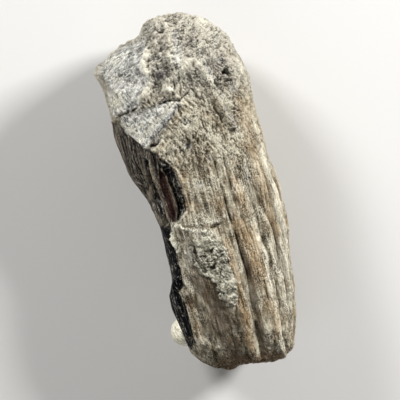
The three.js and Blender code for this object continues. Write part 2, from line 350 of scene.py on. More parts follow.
@dataclass(frozen=True)
class Form:
    """The plain form of the root, in millimetres: a squared section stretched to the outline."""

    half_width: float = 7.0
    half_length: float = 17.0
    face_height: float = 7.05
    back_depth: float = 7.0
    worn_depth: float = 0.35
    section_power: float = 2.6
    end_power: float = 4.6
    back_blur: float = 0.16
    back_shrink: float = 0.985
    crowding: float = 0.45
    outline: Line = pairs(
        -7.12, 13.6, -6.95, 14, -6.3, 14.27, -5.7, 14.75, -4.75, 15.1, -4.2, 15.42, -3.5, 15.37,
        -2.6, 15.38, -2.15, 15.85, -1.7, 16.4, -1.35, 16.85, -0.9, 17, 0, 17.05, 0.7, 16.93, 2, 16.78,
        2.9, 16.35, 3.5, 16.27, 4.4, 15.75, 5.1, 15, 5.7, 14.1, 6.2, 13, 6.6, 11.5, 6.85, 9.5, 6.82, 8,
        6.58, 6.2, 6.67, 4, 6.87, 1, 7.02, -2, 6.95, -4, 6.7, -6, 6.4, -8.2, 6.12, -10, 5.98, -11.5,
        5.6, -12.9, 5, -14.6, 4.5, -16.1, 4.2, -16.5, 3.35, -16.87, 2.5, -17, 1, -16.97, 0, -16.75,
        -1, -16.6, -2.1, -16.72, -3, -16.35, -4.2, -15.75, -5, -15, -5.5, -14, -5.75, -13, -5.95, -11.5,
        -6.05, -10, -5.95, -8.7, -5.4, -7.5, -5.1, -6, -5.05, -4, -5.1, -2, -5.35, 0.3, -6, 2.1, -6.65, 3.6,
        -6.95, 5, -7, 7.2, -6.85, 9.5, -6.62, 12, -7, 13.1)

    def _radius(self, bearing: Array) -> Array:
        """Reads the outline's radius against the squared oval.

        Args:
            bearing: directions from +Y, in radians.

        Returns:
            The radius in each direction, 1 on the oval.
        """
        x, y = np.array(self.outline).T / [[self.half_width], [self.half_length]]
        knots = np.arctan2(x, y)
        radius = (np.abs(x) ** self.end_power + np.abs(y) ** self.end_power) ** (1 / self.end_power)
        order = np.argsort(knots)
        return np.interp(bearing, knots[order], radius[order], period=2 * np.pi)

    def _profile(self, rows: int) -> tuple[Array, Array]:
        """Walks from the base to the crown end in even steps.

        Args:
            rows: how many steps to take.

        Returns:
            The share of the half-width and of the half-length at each step.
        """
        turn = np.linspace(-np.pi / 2, np.pi / 2, 4001)
        along = np.sign(turn) * np.abs(np.sin(turn)) ** (2 / self.end_power)
        across = np.maximum(0, 1 - np.abs(along) ** self.end_power) ** (1 / self.end_power)
        steps = np.hypot(np.diff(across) * self.half_width, np.diff(along) * self.half_length)
        walked = np.concatenate([[0.0], np.cumsum(steps)])
        wanted = np.linspace(0.0, walked[-1], rows + 1)
        return np.interp(wanted, walked, across), np.interp(wanted, walked, along)

    def _turns(self, columns: int) -> Array:
        """Spaces the columns round the section, closest on the face and widest on the back.

        Args:
            columns: how many there are.

        Returns:
            The turn of each, in radians from +X.
        """
        turn = np.linspace(0.0, 2 * np.pi, 4001)
        walked = (turn + self.crowding * (1 - np.cos(turn))) / (2 * np.pi)
        return np.interp(np.arange(columns) / columns, walked, turn)

    def place(self, column: Array, row: Array, columns: int, rows: int) -> Array:
        """Places the points of the plain form.

        Args:
            column: each point's column round the section, from +X over the face.
            row: each point's row, from 0 at the base.
            columns: how many columns there are.
            rows: the last row.

        Returns:
            Places in millimetres, one to a row, with the widest level at Z = 0.
        """
        share_across, share_along = self._profile(rows)
        turn = self._turns(columns)[column]
        across, along = share_across[row], share_along[row]
        c, s = np.cos(turn), np.sin(turn)
        power = self.section_power
        squared = (np.abs(c) ** power + np.abs(s) ** power) ** (-1 / power)
        x, z = across * c * squared, across * s * squared
        spread = (np.abs(x) ** self.end_power + np.abs(along) ** self.end_power) ** (1 / self.end_power)
        bearing = np.arctan2(x, along)
        steps = [self._radius(bearing + step * self.back_blur) for step in (-1, -0.5, 0, 0.5, 1)]
        back = np.mean(steps, axis=0) * self.back_shrink
        radius = blend(back, self._radius(bearing), smooth(-0.55, -0.1, z))
        stretch = 1 + (radius - 1) * spread
        y = along * stretch * self.half_length
        taper = 1 - 0.09 * ((y - 3) / self.half_length) ** 2
        height = np.where(z > 0, self.face_height, self.back_depth)
        return np.stack([x * stretch * self.half_width, y, z * height * taper], axis=1)


# ---------------------------------------- the root's marks

@dataclass(frozen=True)
class Marks:
    """Where the features of the face lie, in millimetres, drawn one by one: the relief, then the stains, the
    painted shade and the painted highlights.
    """

    flutes: Strokes = strokes(
        (0.4, 0.23, 1.5, 2.6, 1.5, 0, 1.55, -2.4, 1.65, -3.4, 1.75, -5.2, 1.85, -7, 1.9, -8, 1.75, -9,
         1.6, -10, 1.45, -12, 1.3, -14, 1.1, -17.2),
        (0.3, 0.16, 2.5, 3.6, 2.5, 1, 2.6, -1.5, 2.7, -3.4),
        (0.28, 0.2, 3.5, 1.6, 4, 0.9, 4.1, 0.3, 4.4, -0.3, 4.5, -1.1),
        (0.3, 0.17, 4.1, -2, 4.15, -3.8, 4.2, -6, 4.3, -7, 4.25, -8, 4.4, -8.8, 4.25, -9.5, 4.2, -10.3,
         4.05, -11, 3.95, -13, 3.8, -14.5, 3.55, -16.6),
        (0.34, 0.28, 4.8, 1.2, 4.9, -1.5, 5, -2.5, 5.25, -4, 5.35, -6, 5.25, -8.5, 5.15, -10.5, 5.1, -12,
         4.85, -13, 4.4, -15.5),
        (0.3, 0.22, 5.8, 2.2, 5.85, 0, 5.95, -2.5, 6.2, -5, 6.05, -7.8, 5.75, -10.5, 5.2, -14),
        (0.35, 0.12, -0.1, -11, -0.05, -14, 0, -16.9), (0.22, 0.2, -3.2, -13, -3.1, -15.8),
        (0.28, 0.14, -3.4, -7.5, -3.5, -10.5, -3.3, -13))
    lines: Strokes = strokes(
        (0.17, 0.24, 1.5, 3.2, 1.5, 0, 1.55, -2.4, 1.65, -3.4),
        (0.14, 0.14, 1.65, -3.4, 1.75, -4.6, 1.85, -6.5, 1.85, -9),
        (0.14, 0.16, 1.9, 1.4, 1.9, -2, 1.95, -3.6), (0.12, 0.14, -0.5, 4, -0.45, 1.6),
        (0.13, 0.2, 2.5, 2.6, 2.52, 0, 2.6, -2.3, 2.7, -3.5), (0.14, 0.14, 3.2, 3.6, 3.25, 0.4, 3.35, -2),
        (0.14, 0.14, 3.85, 3, 3.8, 0), (0.14, 0.28, 4.5, 3.2, 4.65, 0.6, 4.8, -1, 4.95, -2.6),
        (0.1, 0.1, 2.05, 3.4, 2.05, -3),
        (0.13, 0.14, 4.1, -2.5, 4.15, -5, 4.3, -7, 4.25, -8, 4.4, -8.8, 4.2, -10.3, 3.95, -13, 3.55, -16.3),
        (0.12, 0.22, 5.2, 4.4, 5.15, 2, 5, -2, 5.3, -5, 5.25, -9, 5.1, -12, 4.5, -14.6),
        (0.14, 0.24, 5.75, 4.5, 5.8, 1.5, 5.9, -1.5, 6.1, -3.5, 6.2, -5),
        (0.1, 0.12, 5.5, -6, 5.5, -9, 5.25, -12.5), (0.14, 0.16, 0.1, 3.6, 0.1, -1.5),
        (0.13, 0.14, 0.75, 2.5, 0.75, -2.4), (0.13, 0.14, -1.2, 2.2, -1.2, -1.8),
        (0.13, 0.12, -0.45, 0.8, -0.4, -2.3), (0.1, 0.12, 4.6, -5, 4.75, -8, 4.6, -12),
        (0.1, 0.1, 6.3, 6, 6.4, 1), (0.1, 0.08, -2.2, -12, -2.2, -14.6),
        (0.1, 0.08, -1.1, -10.5, -1.1, -15.8), (0.11, 0.22, 2.75, 7.8, 3.15, 6.5, 3.6, 5.2, 4, 4.4),
        (0.1, 0.16, 3.4, 7.7, 3.75, 6.6, 4.1, 5.8), (0.11, 0.2, 0.2, 5.4, 0.7, 4.3, 1.3, 3.3),
        (0.11, 0.18, 0.7, 6.4, 1.3, 4.9, 1.9, 4), (0.12, 0.2, 3.5, 3.2, 3.9, 2, 4.2, 1),
        (0.1, 0.16, 1.9, 6.6, 2.4, 5.4, 2.9, 4.2, 3.1, 3.4), (0.1, 0.16, 1.18, 2.9, 1.15, 0.5, 1.2, -2.2))
    clefts: Strokes = strokes(
        (0.17, 0.4, -2.1, 8.9, -1.7, 8.88, -1.3, 9.05, -0.7, 8.88, -0.2, 8.85, 0.5, 9.15, 1, 9.35),
        (0.14, 0.3, -0.35, -3.35, 0.3, -3.15, 0.6, -3.05), (0.16, 0.3, -6.15, 8.9, -6.2, 8.3),
        (0.2, 0.22, -2.4, 10.7, -1.7, 10.5, -0.9, 10.55), (0.16, 0.4, 4.45, 9.45, 5.25, 9.47),
        (0.12, 0.1, 3.7, 4.9, 3.95, 4.3), (0.2, 0.45, -3.95, 5.35, -3.5, 5.4, -3, 5.7))
    pits: Spots = spots(
        (-1.5, 11.2, 1.1, 0.8, 0.34, 25), (-0.9, 12.2, 0.8, 0.9, 0.32), (3.7, 9.4, 0.6, 0.45, 0.42),
        (5.2, 8.6, 0.8, 1.1, 0.32), (4.6, 11.5, 0.6, 0.45, 0.32, -20), (3.8, 11.3, 0.8, 0.6, 0.34),
        (1.2, 9.6, 1.2, 2.2, 0.27, -8), (4, 7, 0.5, 0.9, 0.2, 20), (-0.5, 4.6, 0.5, 0.7, 0.2),
        (2.1, 14.8, 1.2, 0.7, 0.2, 10), (4.4, 12.9, 1, 0.5, 0.18, -30))
    holes: Spots = spots(
        (4.8, 10.4, 0.42, 0.4), (5, 10.05, 0.34, 0.36, 0.8), (5.15, 9.85, 0.3, 0.22, 0.6),
        (3.55, 9.5, 0.3, 0.22, 0.4), (3.85, 9.2, 0.2, 0.2, 0.35), (3.85, 8.5, 0.2, 0.2, 0.35),
        (6.3, 7, 0.2, 0.2, 0.35), (4.6, 6.75, 0.26, 0.2, 0.35), (1.7, 5.6, 0.24, 0.18, 0.35),
        (2.2, 5.1, 0.2, 0.18, 0.3), (1, 3.4, 0.2, 0.18, 0.35), (1.6, 2.3, 0.22, 0.22, 0.35),
        (3.5, 1.4, 0.22, 0.18, 0.35), (3.05, -2.12, 0.2, 0.14, 0.35), (-4.5, -5.2, 0.18, 0.28, 0.5),
        (-4.6, -2.35, 0.15, 0.2, 0.5), (-5.45, 13.7, 0.3, 0.16, 0.3, 20),
        (2.65, 14.55, 0.4, 0.13, 0.4, -12), (3.4, 14.4, 0.34, 0.13, 0.4, 15),
        (4.55, 14.55, 0.5, 0.16, 0.45, 5), (-0.5, 14.42, 0.4, 0.12, 0.3), (3.1, 11.5, 0.26, 0.16, 0.35, 40),
        (5.4, 13.2, 0.34, 0.14, 0.3, -40), (3.9, 13.4, 0.3, 0.13, 0.3, -25), (2.2, 16, 0.3, 0.12, 0.3, -15),
        (-0.4, 15.6, 0.26, 0.12, 0.3, 20), (-1.4, 12.3, 0.2, 0.4, 0.35, -20), (-1.9, 11.7, 0.2, 0.26, 0.35),
        (-0.9, 13.1, 0.34, 0.2, 0.35, 20), (2.4, 8.4, 0.2, 0.2, 0.3), (1.3, 6.5, 0.22, 0.18, 0.35),
        (3.2, 4.6, 0.2, 0.2, 0.3), (4.5, 7.8, 0.4, 0.16, 0.35, -45), (5, 8.9, 0.5, 0.14, 0.3, -60),
        (1.5, 10.4, 0.3, 0.2, 0.3, 30))
    bumps: Drawing = strokes(
        (0.4, 0.34, -1.7, 14.2, -2.4, 13, -2.6, 12.2, -2.2, 11.3, -3, 10.5, -3.6, 9.7),
        (0.5, 0.46, -1, 10.4, 0, 11, 2, 12.2, 2.5, 11.5, 3, 9.6, 3.2, 8, 4.3, 5),
        (0.5, 0.3, 0.35, 16, 0.45, 15, 0.2, 13.4, -0.4, 12.7),
        (0.22, 0.15, -4.6, 6.2, -2.6, 7.5, -0.5, 8.6), (0.16, 0.1, -3.9, 6.6, -2.2, 7.9, -1, 8.6),
        (0.25, 0.16, -3.3, 5.2, -1.5, 6.2), (0.3, 0.04, -4.05, 5.15, -3.5, 4.95),
        (0.7, 0.22, 0.65, -5.2, 0.7, -9, 0.6, -13, 0.45, -16.5), (0.3, 0.16, -4, -2.4, -4, -5, -4, -8),
        (0.8, 0.13, 3.4, -4, 3.55, -7, 3.5, -9.5), (0.4, 0.08, 4.8, -7, 4.6, -14),
        (0.75, 0.26, 3.5, -10, 3.25, -13, 3, -16.5), (0.6, 0.1, -4.1, -8.5, -4.1, -12.8),
        (0.17, 0.16, 3, 7.8, 3.4, 6.6, 3.85, 5.4, 4.3, 4.5, 4.5, 3.9, 4.3, 3.2),
        (0.13, 0.1, 2.4, 7.6, 2.8, 6.4, 3.25, 5.2), (0.1, 0.1, 1.36, 2.9, 1.33, 0.5, 1.36, -2.3)) + spots(
        (-0.8, 9.9, 1.3, 0.55, 0.36), (-1.6, 4.7, 0.85, 0.6, 0.3), (2.6, 15.8, 1.4, 0.6, 0.18, -20),
        (-4.2, -8.7, 0.5, 0.5, 0.2))
    valleys: Strokes = strokes(
        (1, 0.12, 2, -3.5, 2.1, -7, 1.85, -12, 1.5, -17), (2.4, 0.22, -1.7, -6.5, -1.6, -11, -1.3, -17))
    upper_break: Patch = Patch(pairs(
        -7.2, 9.1, -6.8, 13, -6.3, 14.6, -4.8, 15.9, -2.6, 15.9, -1.7, 14.4, -2.4, 13, -2.6, 12.2,
        -2.2, 11.3, -3, 10.6, -3.6, 10.1, -3.8, 9.1))
    lower_break: Patch = Patch(pairs(
        -6, 8.85, -0.2, 8.85, -0.9, 7.8, -2.3, 6.7, -3.2, 6, -4.3, 5.3, -5.3, 6.5, -6, 7.6))
    bare_flank: Patch = Patch(pairs(
        -9, 8.7, -6.4, 8.6, -6, 7.2, -5.3, 6.5, -4.5, 5.4, -3.5, 4.6, -3.4, 2.5, -3.5, -1.4, -4, -2,
        -4.2, -3, -4.15, -7.9, -4.85, -8.3, -4.75, -13.4, -5.2, -14.1, -9, -14.1))
    crust: Patch = Patch(pairs(
        -2.5, -4.1, -1.6, -4, -0.5, -3.5, -0.1, -4.4, 0.45, -5.3, 0.75, -6.3, 0.4, -7.2, 0.75, -8.6,
        0.45, -10, 0, -10.9, -0.6, -10.7, -1.1, -9.7, -1.15, -8.6, -1.5, -7.7, -2.1, -7.4, -2.5, -6.4,
        -2.4, -5))
    veins: Strokes = strokes(
        (0.26, 1.1, -3.7, -2.1, -4, -3, -4.05, -4, -3.8, -5),
        (0.27, 1.2, -3.7, -2.2, -3.1, -2.4, -2.6, -2.9, -2, -3.2, -0.7, -3.4, -0.3, -4, -0.15, -4.7,
         0.3, -5.4),
        (0.22, 0.6, -2.8, -2.3, -1.8, -2.5, -0.8, -2.8, 0.5, -2.7, 1.3, -2.6),
        (0.12, 0.6, -3.5, -2.5, -3.45, -3.3, -3, -3.7, -2.5, -3.6, -2.4, -3),
        (0.1, 0.5, -3, -2.6, -2.95, -3.6), (0.16, 0.6, -4, -3.8, -3.3, -4.1, -2.6, -4.2),
        (0.2, 0.5, -3.4, -4.9, -2.9, -5.2, -2.8, -6.1), (0.2, 0.5, -3.6, -5.6, -3.4, -6.6),
        (0.14, 0.7, 0.1, -6.9, 0.6, -8.4, 0.95, -8.9), (0.14, 0.6, 1.45, -2.7, 1.5, -4.5))
    window: Patch = Patch(pairs(
        -4.25, 2, -4.1, 2.8, -3.6, 3.9, -3.3, 4.2, -2.7, 3.6, -2.3, 3, -2.1, 2.2, -2, 0.5, -1.95, -0.3,
        -2.2, -0.9, -2.5, -1.5, -3, -1.95, -3.4, -2.1, -3.95, -1.8, -4.3, -1.2))
    septum: Stroke = Stroke(
        pairs(-4, 3.2, -3.5, 2.95, -3.25, 2.3, -3.1, 1, -3, -0.1, -3.05, -1, -3.3, -1.9), 0.2)
    slit: Patch = Patch(pairs(
        -5, -8.2, -4.85, -8.2, -4.4, -13.4, -4.95, -13.6))
    crack: Patch = Patch(pairs(
        -6.3, 8.92, -5.7, 8.96, -5.2, 9.03, -4.6, 9.12, -4.1, 9.06, -4.1, 8.96, -4.7, 8.95, -5.2, 8.87,
        -5.7, 8.82, -6.2, 8.86))
    flank_streaks: Strokes = strokes(
        (0.27, 1.3, -4.5, 3.8, -4.55, 1, -4.5, -0.6, -4.3, -1.8),
        (0.2, 1, -5.4, 4.2, -5.45, 1, -5.35, -0.6, -5, -1.9),
        (0.14, 0.5, -6.9, 8, -6.95, 6, -6.85, 4.4, -6.3, 2.7, -5.7, 1.4),
        (0.16, 0.5, -5.5, 5.5, -5.4, 3.5, -5.3, 2), (0.14, 0.7, -5.5, -0.5, -5.4, -3, -5.35, -6.5),
        (0.16, 0.5, -4.55, -2.6, -4.5, -5, -4.55, -7.6), (0.2, 1.2, -4.75, -1.95, -4.7, -2.2),
        (0.2, 1.1, -6.1, -8.4, -6.3, -9.8, -6.3, -11.4), (0.1, 0.45, -5.35, -8.6, -5.45, -11, -5.3, -13),
        (0.1, 0.9, -5.8, -13, -5.4, -12.95, -5.1, -13.3))
    flank_grooves: Strokes = strokes(
        (0.34, 0.8, -4.95, 4.2, -5, 1, -4.95, -0.6, -4.75, -1.9),
        (0.2, 0.25, -5.35, 5.5, -5.2, 2.5, -5, -1), (0.22, 0.22, -5.9, 6.2, -5.8, 3, -5.3, 0),
        (0.22, 0.2, -6.5, 7, -6.4, 4), (0.25, 0.3, -4.75, -2.6, -4.7, -5, -4.75, -7.8),
        (0.3, 0.25, -5.4, -8.3, -5.5, -11, -5.2, -13.4))
    # dark grey bands, and painted shade in the crown's pits and hollows and on the slopes that face away from
    # the light
    dusk: Drawing = strokes(
        (0.42, 1, -3.6, 5.9, -2.6, 6.7, -1.4, 7.4, -0.3, 8.3), (0.22, 1, -4.1, 5.35, -3.4, 5.55, -2.7, 6),
        (0.16, 0.6, -2.6, 7.6, -0.6, 8.7), (0.25, 0.5, -4.7, 7.8, -3.3, 8.6)) + spots(
        (-1.2, 11.7, 0.8, 1.4, 0.8, -12), (-3.1, 12.2, 0.5, 1.3, 0.8, 10), (-0.5, 4.6, 0.4, 0.6, 0.9),
        (-1.1, 13.2, 0.7, 0.5, 0.6), (-4.5, 9.3, 1.1, 0.4, 0.7), (-0.2, 6.9, 0.35, 0.7, 0.8),
        (4, 7, 0.4, 0.7, 0.6, 20), (3.7, 9.45, 0.6, 0.4, 0.7), (-2.6, 14.4, 0.5, 0.6, 0.6),
        (-3, -5.8, 0.9, 1.9, 0.35), (4.4, 10, 1.5, 2.6, 0.36, 5), (1.4, 9.9, 1, 1.8, 0.35, -8),
        (4.8, 8.2, 0.9, 1.6, 0.4))
    jet: Strokes = strokes(
        (0.36, 1.6, -4.95, 4.4, -5, 1, -4.95, -0.6, -4.75, -1.9), (1.6, 0.8, -7.2, 1, -5.9, -6),
        (0.7, 1.1, -4.95, -1, -4.9, -4, -4.85, -8.2), (1.3, 1.6, -5.5, -7, -5.6, -14))
    tan: Drawing = strokes(
        (1.3, 0.55, 5.6, 8, 5.5, 3, 5.6, -2, 5.7, -6), (0.75, 1, 0.6, -5, 0.6, -10, 0.4, -15.5),
        (1.2, 0.95, 2.3, -3, 2.9, -9), (1, 0.75, 3.4, -4, 3.3, -14), (0.9, 0.75, -1.9, 2.8, -1.8, -0.8),
        (0.8, 0.6, 3, 0.5, 3.2, -3), (0.6, 0.6, -4.1, -8.5, -4.1, -13)) + spots(
        (5.6, 12, 1.1, 2, 0.55), (-5.9, 10.4, 0.9, 1.3, 0.75), (0.9, -1, 1.3, 2, 0.4),
        (-6.3, 13.5, 0.5, 0.5, 0.6), (0.6, 14.8, 1.6, 1.6, 0.35))
    # brown stains, with painted shade in the crown's pits and hollows
    brown: Drawing = strokes(
        (2.2, 1.5, -1.9, -6.8, -1.8, -10.5, -1.7, -13.3), (1.8, 1, -1.6, -13.5, -1.5, -16),
        (0.5, 0.4, -3.6, -12, -3.4, -14.5), (0.6, 1.15, 2.1, -7, 2.1, -9, 1.8, -12, 1.5, -17),
        (0.3, 0.7, -3.7, -8.8, -3.65, -13), (0.3, 0.4, 4.8, -0.5, 5, -3, 5.3, -6.5),
        (0.8, 0.35, -3.2, -14.6, -0.5, -16.6, 2.5, -16.9), (0.35, 1.2, -4.1, -4, -4.15, -8),
        (0.5, 0.6, -2.9, -5.4, -2.5, -7.6), (0.25, 0.6, -2.4, -2.75, -1.2, -3.05)) + spots(
        (-0.45, -12.5, 0.8, 2.4, 0.95), (-0.8, 15.4, 0.8, 1.2, 0.45), (4, 11.6, 0.9, 0.6, 0.5),
        (5, 8.5, 0.6, 0.9, 0.5), (1.5, 10, 0.9, 1.7, 0.55), (-1.25, 11.6, 0.7, 1.2, 0.95),
        (0.2, 0.8, 0.6, 1.2, 0.4), (-6.6, 12.8, 0.3, 0.7, 0.95), (-0.5, 5.2, 1.2, 0.9, 0.3),
        (4.9, 10.2, 0.45, 0.5, 0.8), (0.2, 3, 0.8, 0.8, 0.35), (-3.2, -3.1, 0.4, 0.6, 0.8),
        (-2.6, -4, 0.5, 0.4, 0.6), (-1.6, -3.75, 0.8, 0.35, 0.4), (-2.3, -3.3, 2, 1.1, 0.55))
    grey: Drawing = strokes(
        (0.55, 0.6, 1.2, 15.2, 1, 13.5, 0.5, 12.2), (0.5, 0.4, 3.1, 11.8, 3.6, 8, 4.2, 6, 4.4, 4.5),
        (0.5, 0.85, -3, 6.5, -1.8, 7.3, -0.3, 8.5)) + spots(
        (-0.5, 4.5, 0.45, 0.45, 0.8), (0, 6.6, 0.35, 0.6, 0.6), (-0.3, 0.8, 0.5, 0.6, 0.6),
        (4.6, 11.5, 0.5, 0.35, 0.6), (4.3, 0.6, 0.45, 1.4, 0.5), (5.2, 8.7, 0.7, 0.9, 0.45),
        (1.3, 3, 0.6, 0.6, 0.35), (-1.9, 15.3, 0.6, 0.9, 0.7), (-2.9, -5.2, 0.7, 1.4, 0.3),
        (-1.6, -3.8, 1, 0.5, 0.35))
    # cream patches, and painted highlights along the ridges, the rib crests and the right and top rims
    pale: Drawing = strokes(
        (0.35, 0.8, -1.7, 14.2, -2.4, 13, -2.6, 12.2, -2.2, 11.3, -3, 10.5, -3.6, 9.7),
        (0.35, 0.9, -1, 10.4, 0, 11, 2, 12.2, 2.5, 11.5, 3, 9.6),
        (0.4, 0.45, 0.3, 16.6, 0.45, 15, 0.2, 13.4, -0.4, 12.7),
        (0.3, 0.7, -6.5, 12, -6.65, 10.5, -6.8, 9.2), (0.3, 1.2, -4.8, 6.1, -2.8, 7.5, -0.5, 8.75),
        (0.2, 0.8, -4.05, 5.15, -3.5, 4.95), (0.14, 1, -4.2, 5.6, -3, 6.4, -1.9, 6.9),
        (0.3, 0.9, -3.7, 5.1, -2.2, 6.1), (0.3, 0.8, -5.6, 7.9, -4.7, 6.9),
        (0.22, 0.9, -3.9, -1.9, -3.3, -2.1, -2.7, -1.7, -2.3, -1.3),
        (0.35, 0.65, 3.5, -9.5, 3.5, -13, 3.3, -16.3), (0.3, 0.8, 4.7, -6, 4.65, -13),
        (0.35, 0.8, 3.65, -3.5, 3.75, -8, 3.6, -10.5), (0.25, 0.6, 5.6, -6, 5.5, -12),
        (0.2, 0.7, -4, -2.4, -3.95, -4), (0.2, 0.45, -4.1, -5.6, -4, -7.6),
        (0.17, 0.9, -6.1, 8.2, -5.3, 6.6, -4.6, 5.5),
        (0.6, 0.75, 6.4, 5, 6.5, 0, 6.4, -5, 5.9, -9.5, 5.2, -13),
        (0.2, 0.5, -5.7, -8.6, -5.9, -10, -5.9, -11.2), (0.12, 0.7, -5.8, -13, -5.4, -12.95, -5.1, -13.3),
        (0.25, 0.4, -2.1, 3.4, -1.75, 1.5, -1.7, -0.5),
        (0.5, 0.6, 3.6, 16.2, 4.9, 15, 5.9, 13.2, 6.4, 11, 6.6, 8)) + spots(
        (-0.8, 10, 1.3, 0.5), (2.5, 15.8, 1.8, 0.8, 0.5), (-5, 14, 1, 0.8, 0.5), (-5.3, 12.4, 1, 0.5, 0.6),
        (-5.9, 10.4, 1.2, 1.4, 1.3), (-4.4, 7.5, 0.8, 0.4, 0.7, 30), (-4.2, -8.7, 0.5, 0.4, 0.6),
        (4.4, -3.4, 0.3, 0.3, 0.6), (-4.4, -13.75, 0.35, 0.2, 0.7))


@dataclass(frozen=True)
class SideFlute:
    """A flute of the flanks or back: the side it faces, in degrees from +X over the face, and its depth."""

    crown_side: float
    base_side: float
    start: float
    depth: float


SIDE_FLUTES = (
    SideFlute(21, 17, 4.5, 0.4), SideFlute(6, 4, 6.0, 0.5), SideFlute(-8, -12, 3.0, 0.45),
    SideFlute(-24, -25, 7.0, 0.5), SideFlute(-39, -43, 4.0, 0.5), SideFlute(-55, -60, 5.5, 0.4),
    SideFlute(-124, -120, 4.5, 0.45), SideFlute(-139, -136, 6.5, 0.5), SideFlute(-152, -151, 3.5, 0.45),
    SideFlute(-166, -168, 2.0, 0.3), SideFlute(178, 176, 1.0, 0.25),
)


# ---------------------------------------- materials

class Tint(Enum):
    """The masks that a finish reads from its piece."""

    BARE = "bare"
    GREY = "grey"
    ROCK = "rock"
    TAN = "tan"
    BROWN = "brown"
    # cream patches and veins, and painted highlights
    PALE = "pale"
    # dark grey bands and painted shade
    DUSK = "dusk"
    HOLLOW = "hollow"
    # painted shade in the gaps
    VOID = "void"
    JET = "jet"
    STREAK = "streak"
    CORE = "core"
    CROWN = "crown"
    RELIEF = "relief"
    GRIT = "grit"


def paint(red: int, green: int, blue: int) -> Colour:
    """Turns a colour as seen on a screen, 0 to 255, into the shader's linear light."""
    shares = (red / 255, green / 255, blue / 255)
    return tuple(c / 12.92 if c <= 0.04045 else ((c + 0.055) / 1.055) ** 2.4 for c in shares)


class Wiring:
    """Adds and joins the nodes of one node tree."""

    def __init__(self, tree: NodeTree) -> None:
        """Starts with the tree as it stands."""
        self.tree = tree

    def add(self, kind: str, **settings: object) -> Node:
        """Adds a node.

        Args:
            kind: its Blender name.
            settings: the properties to set on it.

        Returns:
            The node.
        """
        node = self.tree.nodes.new(kind)
        for name, value in settings.items():
            setattr(node, name, value)
        return node

    def feed(self, socket: Socket, value: Input) -> None:
        """Links a socket to another, or sets its value.

        Args:
            socket: the socket to feed.
            value: the socket to link, or a number or colour.
        """
        if isinstance(value, Socket):
            self.tree.links.new(value, socket)
        elif isinstance(value, tuple) and len(value) == 3 and len(socket.default_value) == 4:
            socket.default_value = (*value, 1.0)
        else:
            socket.default_value = value

    def fed(self, node: Node, inputs: dict[Union[int, str], Input]) -> Node:
        """Feeds some of a node's inputs.

        Args:
            node: the node.
            inputs: what to feed, by the input's name or number.

        Returns:
            The same node.
        """
        for name, value in inputs.items():
            self.feed(node.inputs[name], value)
        return node

    def math(self, operation: str, first: Input, second: Input = 0.0) -> Socket:
        """Adds a Math node."""
        return self.fed(self.add("ShaderNodeMath", operation=operation), {0: first, 1: second}).outputs[0]

    def times(self, first: Input, second: Input) -> Socket:
        """Multiplies two numbers."""
        return self.math("MULTIPLY", first, second)

    def plus(self, first: Input, second: Input) -> Socket:
        """Adds two numbers."""
        return self.math("ADD", first, second)

    def between(self, share: Input, first: Input, second: Input) -> Socket:
        """Slides from one number to another."""
        return self.plus(first, self.times(share, self.math("SUBTRACT", second, first)))

    def span(self, value: Input, low: float, high: float, to_low: float = 0.0,
             to_high: float = 1.0) -> Socket:
        """Maps a span of numbers to another, with soft ends."""
        node = self.add("ShaderNodeMapRange", interpolation_type="SMOOTHSTEP")
        return self.fed(node, dict(enumerate((value, low, high, to_low, to_high)))).outputs[0]

    def mix(self, share: Input, first: Input, second: Input) -> Socket:
        """Mixes two colours by the share of the second."""
        node = self.add("ShaderNodeMix", data_type="RGBA")
        return self.fed(node, {0: share, 6: first, 7: second}).outputs[2]

    def mask(self, tint: Tint) -> Socket:
        """Reads one of the piece's own masks."""
        return self.add("ShaderNodeAttribute", attribute_name=tint.value).outputs["Fac"]

    def noise(self, size: Size, detail: float = 4.0, rough: float = 0.55, turn: float = 0.0,
              sway: float = 0.0) -> Socket:
        """Adds a noise texture that lies on the object.

        Args:
            size: the size of its features in millimetres.
            detail: how many layers it has.
            rough: how strong the finer layers are.
            turn: how far it is turned over the face, in degrees.
            sway: how far its features wander.

        Returns:
            The socket with the noise, 0 to 1.
        """
        mapping = self.add("ShaderNodeMapping", vector_type="TEXTURE")
        place = self.add("ShaderNodeTexCoord").outputs["Object"]
        self.fed(mapping, {"Vector": place, "Scale": tuple(MM * length for length in size),
                           "Rotation": (0.0, 0.0, math.radians(turn))})
        return self.fed(self.add("ShaderNodeTexNoise"), {
            "Vector": mapping.outputs[0], "Scale": 1.0, "Detail": detail, "Roughness": rough,
            "Distortion": sway,
        }).outputs["Fac"]

    def grain(self, size: Size, turn: float, sway: float = 0.7) -> Socket:
        """Adds drawn-out noise as a height, from about -1 to 1."""
        return self.times(self.plus(self.noise(size, 2.5, 0.6, turn, sway), -0.5), 5.0)

    def threads(self, size: Size, turn: float, sway: float = 0.7) -> Socket:
        """Adds noise folded into thin crests, as a height from about -1 to 0.5."""
        return self.plus(self.times(self.math("ABSOLUTE", self.grain(size, turn, sway)), -1.6), 0.5)

    def grit(self, group: NodeTree, base: Input, relief: Input, crest: Colour, hollow: Colour,
             strength: Input, lying: Input = 0.5) -> Node:
        """Adds the shared grit effect, with painted shade in the hollows and painted highlights on the
        crests.

        Args:
            group: the effect.
            base: the colour it works on.
            relief: how far each place stands up, -1 to 1.
            crest: the colour of the painted highlights on the crests.
            hollow: the colour of the painted shade in the hollows.
            strength: how strong the grit is.
            lying: how its grain runs: 0 along the tooth, 0.5 aslant, 1 across it.

        Returns:
            The group's node, with outputs Color and Height.
        """
        return self.fed(self.add("ShaderNodeGroup", node_tree=group), {
            "Color": base, "Relief": relief, "Crest": crest, "Hollow": hollow, "Grit": strength,
            "Lying": lying,
        })


